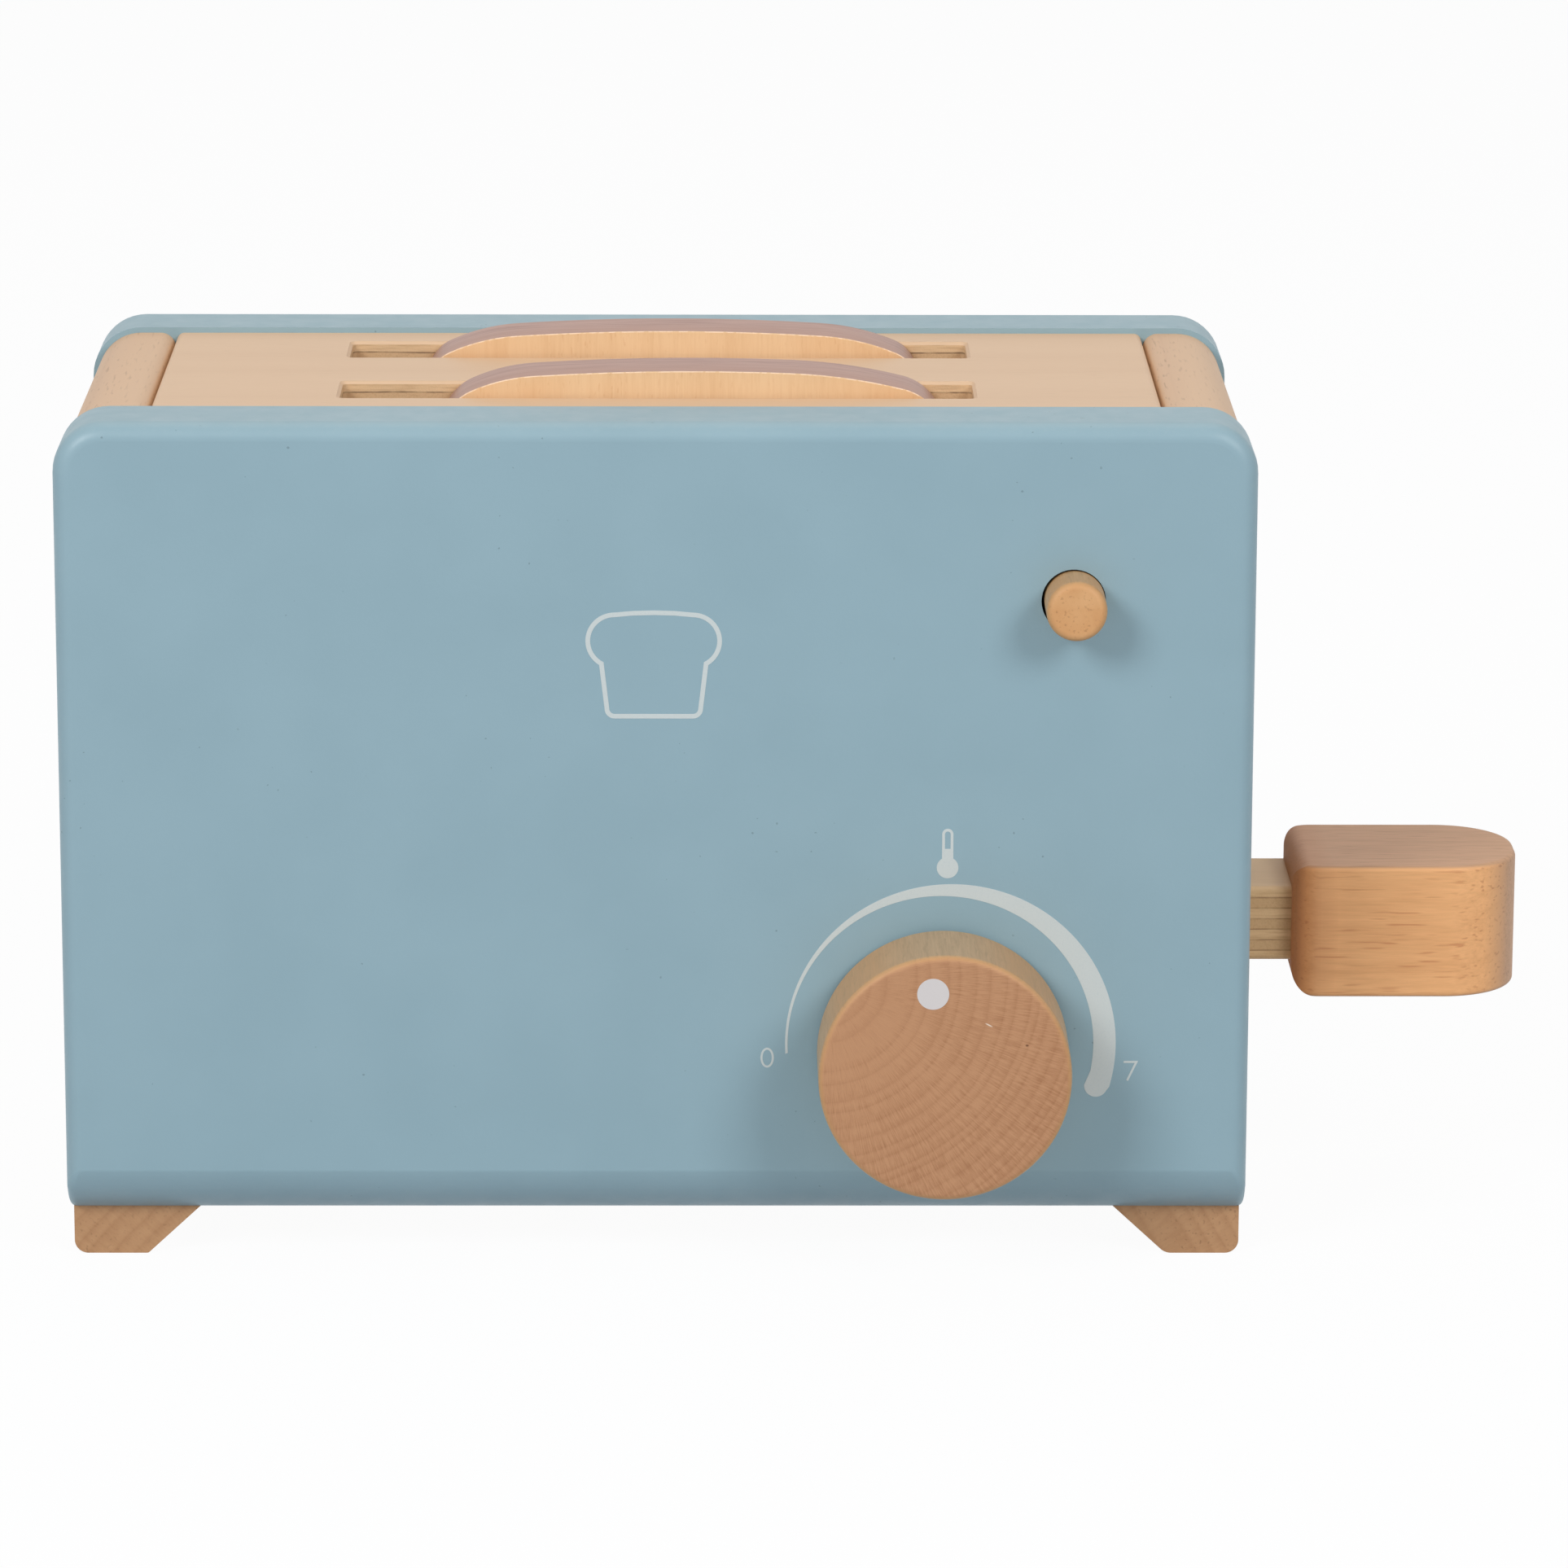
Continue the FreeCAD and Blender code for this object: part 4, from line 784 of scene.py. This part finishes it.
print("dial's middle, mm:", round(DIAL[0] / MM, 3), round(DIAL[1] / MM, 3))

# %% [markdown]
# Each plywood board gives the axis across its layers, the height or side where they start and
# how thick one is. The carriage's ply has seven layers in 12.5 mm.

# %% Plywood boards and metal
UPWARDS, SIDEWAYS = 2, 0
top_ply = plywood(
    "birch_top",
    ALONG_X,
    UPWARDS,
    bottom=128.1,
    layer=1.8,
    pale=srgb(236, 200, 156),
    dark=srgb(196, 156, 114),
)
base_ply = plywood("birch_base", ALONG_X, UPWARDS, bottom=8.9, layer=1.8)
carriage_ply = plywood(
    "birch_carriage",
    ALONG_X,
    UPWARDS,
    bottom=40.2,
    layer=12.5 / 7,
    face=srgb(222, 194, 153),
    face_dark=srgb(208, 178, 138),
    pale=srgb(220, 192, 148),
    dark=srgb(182, 148, 106),
    glue=srgb(156, 124, 88),
)
latch_ply = plywood("birch_latch", ALONG_Z, SIDEWAYS, bottom=36.55, layer=1.5)
zinc = steel("zinc_steel", srgb(186, 188, 190), roughness=0.3)
spring_steel = steel("spring_steel", srgb(150, 152, 156), roughness=0.32)
nickel = steel("nickel_magnet", srgb(205, 202, 196), roughness=0.16)
print("boards:", top_ply.name, base_ply.name, carriage_ply.name, latch_ply.name)

# %% Assign the finishes
FINISHES = {
    "front_plate": painted("paint_front"),
    "rear_plate": painted("paint_rear"),
    "left_side_block": block_wood,
    "right_side_block": block_wood,
    "top_board": top_ply,
    "base_board": base_ply,
    "left_foot": foot_wood,
    "right_foot": foot_wood,
    "left_guide_rod": zinc,
    "right_guide_rod": zinc,
    "left_lift_spring": spring_steel,
    "right_lift_spring": spring_steel,
    "panel_dowels": inner_wood,
    "foot_screws": zinc,
    "latch_bracket": inner_wood,
    "latch_pivot_pin": zinc,
    "latch_return_spring": spring_steel,
    "carriage_board": carriage_ply,
    "lever_handle": handle_wood,
    "handle_pin": inner_wood,
    "strike_plate": zinc,
    "strike_screw": zinc,
    "toast_front": toast("toast_front"),
    "toast_rear": toast("toast_rear"),
    "button_plunger": button_wood,
    "button_collar": inner_wood,
    "latch_lever": latch_ply,
    "latch_magnet": nickel,
    "dial_knob": dial_wood,
    "dial_shaft": inner_wood,
    "dial_washer": felt("grey_felt"),
    "dial_collar": inner_wood,
}
for node_name, material in FINISHES.items():
    mesh = nodes[node_name].data
    mesh.materials.clear()
    mesh.materials.append(material)
print("finished:", len(FINISHES), "missing:", sorted(set(nodes) - set(FINISHES)))

# %% [markdown]
# ## The latch's return spring
# Pushing the button rocks the release lever, and the lever presses the latch's return spring
# against the front board. So that spring is wound here along a helix with closed ends and six sides
# to the wire, and it rides with the casing. The solid stays behind it for the physics. The two lift
# springs, deep in the case, keep the length they are drawn with.

# %% The return spring
SPRING_WIRE = 0.7 * MM
SPRING_TURNS = 3
SPRING_STEPS = 16  # rings of the mesh in one turn
WIRE_SIDES = 6
CLOSED_RISE = 1.02  # wires that a closed end turn rises, so that it doesn't touch itself
spring_low, spring_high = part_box("latch_return_spring")
spring_x = (spring_low[0] + spring_high[0]) / 2
spring_z = (spring_low[2] + spring_high[2]) / 2
winding = (spring_high[0] - spring_low[0] - SPRING_WIRE) / 2
closed = SPRING_WIRE * CLOSED_RISE
pitch = (spring_high[1] - spring_low[1] - SPRING_WIRE - 2 * closed) / SPRING_TURNS

wire_path = []
depth = spring_low[1] + SPRING_WIRE / 2
for step in range((SPRING_TURNS + 2) * SPRING_STEPS + 1):
    angle = 2 * math.pi * step / SPRING_STEPS
    aside, downwards = winding * math.cos(angle), winding * math.sin(angle)
    wire_path.append(Vector((spring_x + aside, depth, spring_z - downwards)))
    at_an_end = step < SPRING_STEPS or step >= (SPRING_TURNS + 1) * SPRING_STEPS
    depth += (closed if at_an_end else pitch) / SPRING_STEPS
print("return spring:", len(wire_path), "places along the wire")

# %% Its wire
form = bmesh.new()
rings = []
for step, spot in enumerate(wire_path):
    before, after = wire_path[max(step - 1, 0)], wire_path[min(step + 1, len(wire_path) - 1)]
    run = (after - before).normalized()
    outward = Vector((spot.x - spring_x, 0, spot.z - spring_z)).normalized()
    outward = (outward - run * outward.dot(run)).normalized()
    aside = run.cross(outward)
    corners = []
    for side in range(WIRE_SIDES):
        angle = 2 * math.pi * (side + 0.5) / WIRE_SIDES
        offset = outward * math.cos(angle) + aside * math.sin(angle)
        corners.append(form.verts.new(spot + offset * SPRING_WIRE / 2))
    rings.append(corners)
for near, far in zip(rings, rings[1:]):
    for side in range(WIRE_SIDES):
        other = side + 1 - WIRE_SIDES
        form.faces.new((near[side], near[other], far[other], far[side]))
form.faces.new(rings[0][::-1])
form.faces.new(rings[-1])
bmesh.ops.recalc_face_normals(form, faces=form.faces[:])
spring_mesh = bpy.data.meshes.new("return_spring")
form.to_mesh(spring_mesh)
form.free()
spring_mesh.materials.append(spring_steel)
return_spring = bpy.data.objects.new("return_spring", spring_mesh)
bpy.context.scene.collection.objects.link(return_spring)
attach(return_spring, "casing")
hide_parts("latch_return_spring")
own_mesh(return_spring)
print("return spring:", len(spring_mesh.polygons), "faces")

# %% [markdown]
# ## White printing on the front
# The scale round the dial, its two figures and the thermometer are screen printed. A print is a
# film of ink, so each is a flat outline given the ink's few hundredths of a millimetre, laid on
# the board. Arcs are worked out from circles, and the same helper thickens every outline.

# %% Print helper
FACE_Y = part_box("front_plate")[0][1]
INK = 0.04 * MM
white_ink = ink("white_ink", srgb(207, 216, 216))


def arc(centre, radius, start, end, steps):
    """Points on a circle from one angle to another, in degrees, counter-clockwise from +X."""
    points = []
    for step in range(steps + 1):
        angle = math.radians(start + (end - start) * step / steps)
        points.append((centre[0] + radius * math.cos(angle), centre[1] + radius * math.sin(angle)))
    return points


def printed(name, outline, body, material, y=FACE_Y, holes=()):
    """A film of ink with the given outline (X, Z) on a face that looks towards -Y."""
    mesh = bpy.data.meshes.new(name)
    form = bmesh.new()
    edges = []
    for points in (outline, *holes):
        corners = [form.verts.new((x, y - INK, z)) for x, z in points]
        edges += [form.edges.new((a, b)) for a, b in zip(corners, corners[1:] + corners[:1])]
    bmesh.ops.triangle_fill(form, use_beauty=True, use_dissolve=False, edges=edges)
    grown = bmesh.ops.extrude_face_region(form, geom=form.faces[:])
    moved = [item for item in grown["geom"] if isinstance(item, bmesh.types.BMVert)]
    bmesh.ops.translate(form, verts=moved, vec=(0, INK, 0))
    bmesh.ops.recalc_face_normals(form, faces=form.faces[:])
    form.to_mesh(mesh)
    form.free()
    mesh.materials.append(material)
    piece = bpy.data.objects.new(name, mesh)
    bpy.context.scene.collection.objects.link(piece)
    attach(piece, body)


print("a print is", INK / MM, "mm thick")

# %% [markdown]
# The scale is a crescent: its outer and inner circles have different middles, so it grows from a
# fine point at 0 to a thick round end at 7. Angles are in degrees, counter-clockwise from +X.

# %% The dial's scale
OUTER_MIDDLE = (DIAL[0] + 1.3 * MM, DIAL[1] + 0.9 * MM)
INNER_MIDDLE = (DIAL[0] - 0.3 * MM, DIAL[1] + 0.95 * MM)
OUTER_RADIUS = 26.5 * MM
INNER_RADIUS = 24.5 * MM
POINT_ANGLE = 183.5
END_ANGLE = -15.5
CAP_MIDDLE = (DIAL[0] + 24.68 * MM, DIAL[1] - 5.98 * MM)
CAP_RADIUS = 1.87 * MM
outside = arc(OUTER_MIDDLE, OUTER_RADIUS, END_ANGLE, POINT_ANGLE, 96)
inside = arc(INNER_MIDDLE, INNER_RADIUS, POINT_ANGLE, END_ANGLE + 5, 96)
cap = arc(CAP_MIDDLE, CAP_RADIUS, END_ANGLE - 180, END_ANGLE, 16)
printed("scale_crescent", outside + inside + cap[1:-1], "casing", white_ink)
print("scale from", POINT_ANGLE, "to", END_ANGLE, "degrees")

# %% [markdown]
# A line of even thickness is drawn by walking along it and stepping to both sides. The nought is
# a tall ring, the seven two strokes, and the thermometer a tube with a bulb.

# %% Line helpers
SHORTEST_COSINE = 0.4  # keeps a sharp corner of a line from reaching out too far


def stroke(points, width):
    """The outline of a line of even width through some points."""
    left_edge = []
    right_edge = []
    for index, (x, z) in enumerate(points):
        before = Vector(points[max(index - 1, 0)])
        after = Vector(points[min(index + 1, len(points) - 1)])
        here = Vector((x, z))
        run_in = (here - before).normalized() if index else (after - here).normalized()
        run_out = (after - here).normalized() if index < len(points) - 1 else run_in
        side = Vector((-(run_in + run_out).y, (run_in + run_out).x)).normalized()
        cosine = side.dot(Vector((-run_in.y, run_in.x)))
        reach = width / 2 / max(cosine, SHORTEST_COSINE)
        left_edge.append(tuple(here + side * reach))
        right_edge.append(tuple(here - side * reach))
    return right_edge + left_edge[::-1]


def ellipse(centre, half_width, half_height, steps=40):
    """Points on an upright ellipse."""
    points = []
    for step in range(steps):
        angle = 2 * math.pi * step / steps
        aside, upwards = half_width * math.cos(angle), half_height * math.sin(angle)
        points.append((centre[0] + aside, centre[1] + upwards))
    return points


print("line helpers ready")

# %% Figures
FIGURE_LINE = 0.34 * MM
NOUGHT = (DIAL[0] - 28.06 * MM, DIAL[1] - 1.34 * MM)
NOUGHT_HALF_WIDTH = 1.08 * MM
NOUGHT_HALF_HEIGHT = 1.66 * MM
nought_outside = ellipse(NOUGHT, NOUGHT_HALF_WIDTH, NOUGHT_HALF_HEIGHT)
nought_inside = ellipse(NOUGHT, NOUGHT_HALF_WIDTH - FIGURE_LINE, NOUGHT_HALF_HEIGHT - FIGURE_LINE)
printed("figure_0", nought_outside, "casing", white_ink, holes=[nought_inside])

SEVEN = (DIAL[0] + 30.16 * MM, DIAL[1] - 3.49 * MM)
SEVEN_CORNERS = ((-1.05, 1.45), (1.0, 1.45), (-0.45, -1.65))  # millimetres from its middle
seven_path = [(SEVEN[0] + x * MM, SEVEN[1] + z * MM) for x, z in SEVEN_CORNERS]
printed("figure_7", stroke(seven_path, FIGURE_LINE), "casing", white_ink)
print("figures printed")

# %% Thermometer
BULB = (DIAL[0] + 0.61 * MM, DIAL[1] + 30.11 * MM)
BULB_RADIUS = 1.73 * MM
TUBE_HALF = 0.9 * MM
TUBE_TOP = BULB[1] + 6.4 * MM
TUBE_INK = 0.45 * MM
BORE_BOTTOM = BULB[1] + 3.1 * MM
join = math.degrees(math.asin(TUBE_HALF / BULB_RADIUS))
bulb = arc(BULB, BULB_RADIUS, 90 + join, 450 - join, 40)
tube_end = arc((BULB[0], TUBE_TOP - TUBE_HALF), TUBE_HALF, 0, 180, 16)
bore_half = TUBE_HALF - TUBE_INK
bore_top = arc((BULB[0], TUBE_TOP - TUBE_HALF), bore_half, 0, 180, 10)
bore = [(BULB[0] - bore_half, BORE_BOTTOM), (BULB[0] + bore_half, BORE_BOTTOM)] + bore_top
printed("thermometer", bulb + tube_end, "casing", white_ink, holes=[bore])
print("thermometer printed")

# %% [markdown]
# A plain pictogram of a slice of bread stands in the upper half of the board: a loaf's outline
# with two rounded ears and a flat bottom, drawn with one line of nearly even width. Its corners
# come from the same circle helper, and the inner edge of the line is the outline drawn again,
# smaller. Each ear's circle is wrapped on past its side, down to the notch under it.

# %% The bread pictogram
BREAD = (-23.8 * MM, 99.2 * MM)
BREAD_LINE = 0.75 * MM
EAR_RADIUS = 4.6 * MM
EAR_ASIDE = 6.2 * MM
EAR_ABOVE = 4.0 * MM
EAR_WRAP = 58  # degrees from the side down to the notch
EAR_WRAP_MORE = 7  # degrees more for each millimetre of inset
FOOT_RADIUS = 1.6 * MM
BREAD_BELOW = 8.6 * MM
CROWN = ((3.3, 0.26), (0.0, 0.35), (-3.3, 0.26))  # millimetres aside, and above the ears' tops


def bread(inset):
    """A slice's outline round BREAD, moved inwards by an inset."""
    x = BREAD[0]
    ear = EAR_RADIUS - inset
    foot = FOOT_RADIUS - inset
    wrap = EAR_WRAP + inset / MM * EAR_WRAP_MORE
    foot_height = BREAD[1] - BREAD_BELOW + foot + inset
    ear_height = BREAD[1] + EAR_ABOVE
    points = arc((x - EAR_ASIDE, foot_height), foot, 180, 270, 8)
    points += arc((x + EAR_ASIDE, foot_height), foot, 270, 360, 8)
    points += arc((x + EAR_ASIDE, ear_height), ear, -wrap, 90, 24)
    points += [(x + aside * MM, ear_height + ear + rise * MM) for aside, rise in CROWN]
    points += arc((x - EAR_ASIDE, ear_height), ear, 90, 180 + wrap, 24)
    return points


printed("bread_pictogram", bread(0.0), "casing", white_ink, holes=[bread(BREAD_LINE)])
print("pictogram printed")

# %% [markdown]
# The white dot on the dial is its pointer. It is painted too, a round film on the dial's face, and
# it rides on the dial.

# %% The dial's dot
DOT = (DIAL[0] - 2.04 * MM, DIAL[1] + 13.95 * MM)
DOT_RADIUS = 2.53 * MM
dot_white = ink("dot_white", srgb(219, 214, 213), through=0.0)
dot = ellipse(DOT, DOT_RADIUS, DOT_RADIUS, 48)
printed("dial_dot", dot, "dial", dot_white, y=dial_low[1])
print("dot painted")

# %% [markdown]
# ## Floor, backdrop and light
# Two large soft lamps stand left and right of the camera, high up, with the left one a little
# stronger, so shadows are a little deeper on the right. A warm one hangs over the toaster and lifts
# its upper faces. The pale room fills in the rest. The world is white where the camera or a
# reflection looks at it, and dimmer where it only lights the wood, so the background stays white
# without washing the colours out.

# %% Floor
FLOOR_HALF = 4.0
FLOOR_GLOW = 1.03
FLOOR_WHITE = 0.93  # how much of that glow the camera and reflections see
floor_mesh = bpy.data.meshes.new("floor")
floor_form = bmesh.new()
bmesh.ops.create_grid(floor_form, x_segments=2, y_segments=2, size=FLOOR_HALF)
floor_form.to_mesh(floor_mesh)
floor_form.free()
floor = bpy.data.objects.new("floor", floor_mesh)
bpy.context.scene.collection.objects.link(floor)
material, tree = new_material("pale_floor")
path = add_node(tree, "ShaderNodeLightPath").outputs
seen = calc(tree, "MAXIMUM", path["Is Camera Ray"], path["Is Glossy Ray"])
matt = add_node(tree, "ShaderNodeBsdfDiffuse", {"Color": srgb(196, 199, 204)}).outputs[0]
glow = {"Color": (1, 1, 1, 1), "Strength": FLOOR_GLOW}
white = add_node(tree, "ShaderNodeEmission", glow).outputs[0]
seen = calc(tree, "MULTIPLY", seen, FLOOR_WHITE)
blend = add_node(tree, "ShaderNodeMixShader", {0: seen, 1: matt, 2: white})
add_node(tree, "ShaderNodeOutputMaterial", {"Surface": blend.outputs[0]})
floor_mesh.materials.append(material)
print("floor:", 2 * FLOOR_HALF, "m across")

# %% World
FILL = 0.29  # the world's strength where it only lights the wood
scene = bpy.context.scene
scene.view_settings.view_transform = "Standard"
world = bpy.data.worlds.new("studio")
scene.world = world
world.use_nodes = True
tree = world.node_tree
tree.nodes.clear()
path = add_node(tree, "ShaderNodeLightPath").outputs
reflected = calc(tree, "MAXIMUM", path["Is Glossy Ray"], path["Is Transmission Ray"])
seen = calc(tree, "MAXIMUM", path["Is Camera Ray"], reflected)
room = {"Color": (1, 1, 1, 1), "Strength": remap(tree, seen, 0.0, 1.0, FILL, 1.0)}
background = add_node(tree, "ShaderNodeBackground", room)
add_node(tree, "ShaderNodeOutputWorld", {"Surface": background.outputs[0]})
print("world:", world.name)

# %% Lamps


def softbox(name, place, target, size, power, tint=(1.0, 1.0, 1.0)):
    """A square area lamp that looks at a point."""
    lamp = bpy.data.lights.new(name, "AREA")
    lamp.shape = "SQUARE"
    lamp.size = size
    lamp.energy = power
    lamp.color = tint
    stand = bpy.data.objects.new(name, lamp)
    stand.location = place
    stand.rotation_euler = (Vector(target) - Vector(place)).to_track_quat("-Z", "Y").to_euler()
    scene.collection.objects.link(stand)


MIDDLE = (0.0, 0.0, 0.07)
WARM = (1.0, 0.86, 0.72)
softbox("left_softbox", (-0.87, -1.1, 0.95), MIDDLE, size=0.55, power=11.5)
softbox("right_softbox", (0.87, -1.1, 0.95), MIDDLE, size=0.55, power=9.0)
softbox("top_softbox", (0.0, 0.35, 1.2), MIDDLE, size=0.8, power=2.4, tint=WARM)
print("lamps placed:", len(bpy.data.lights))
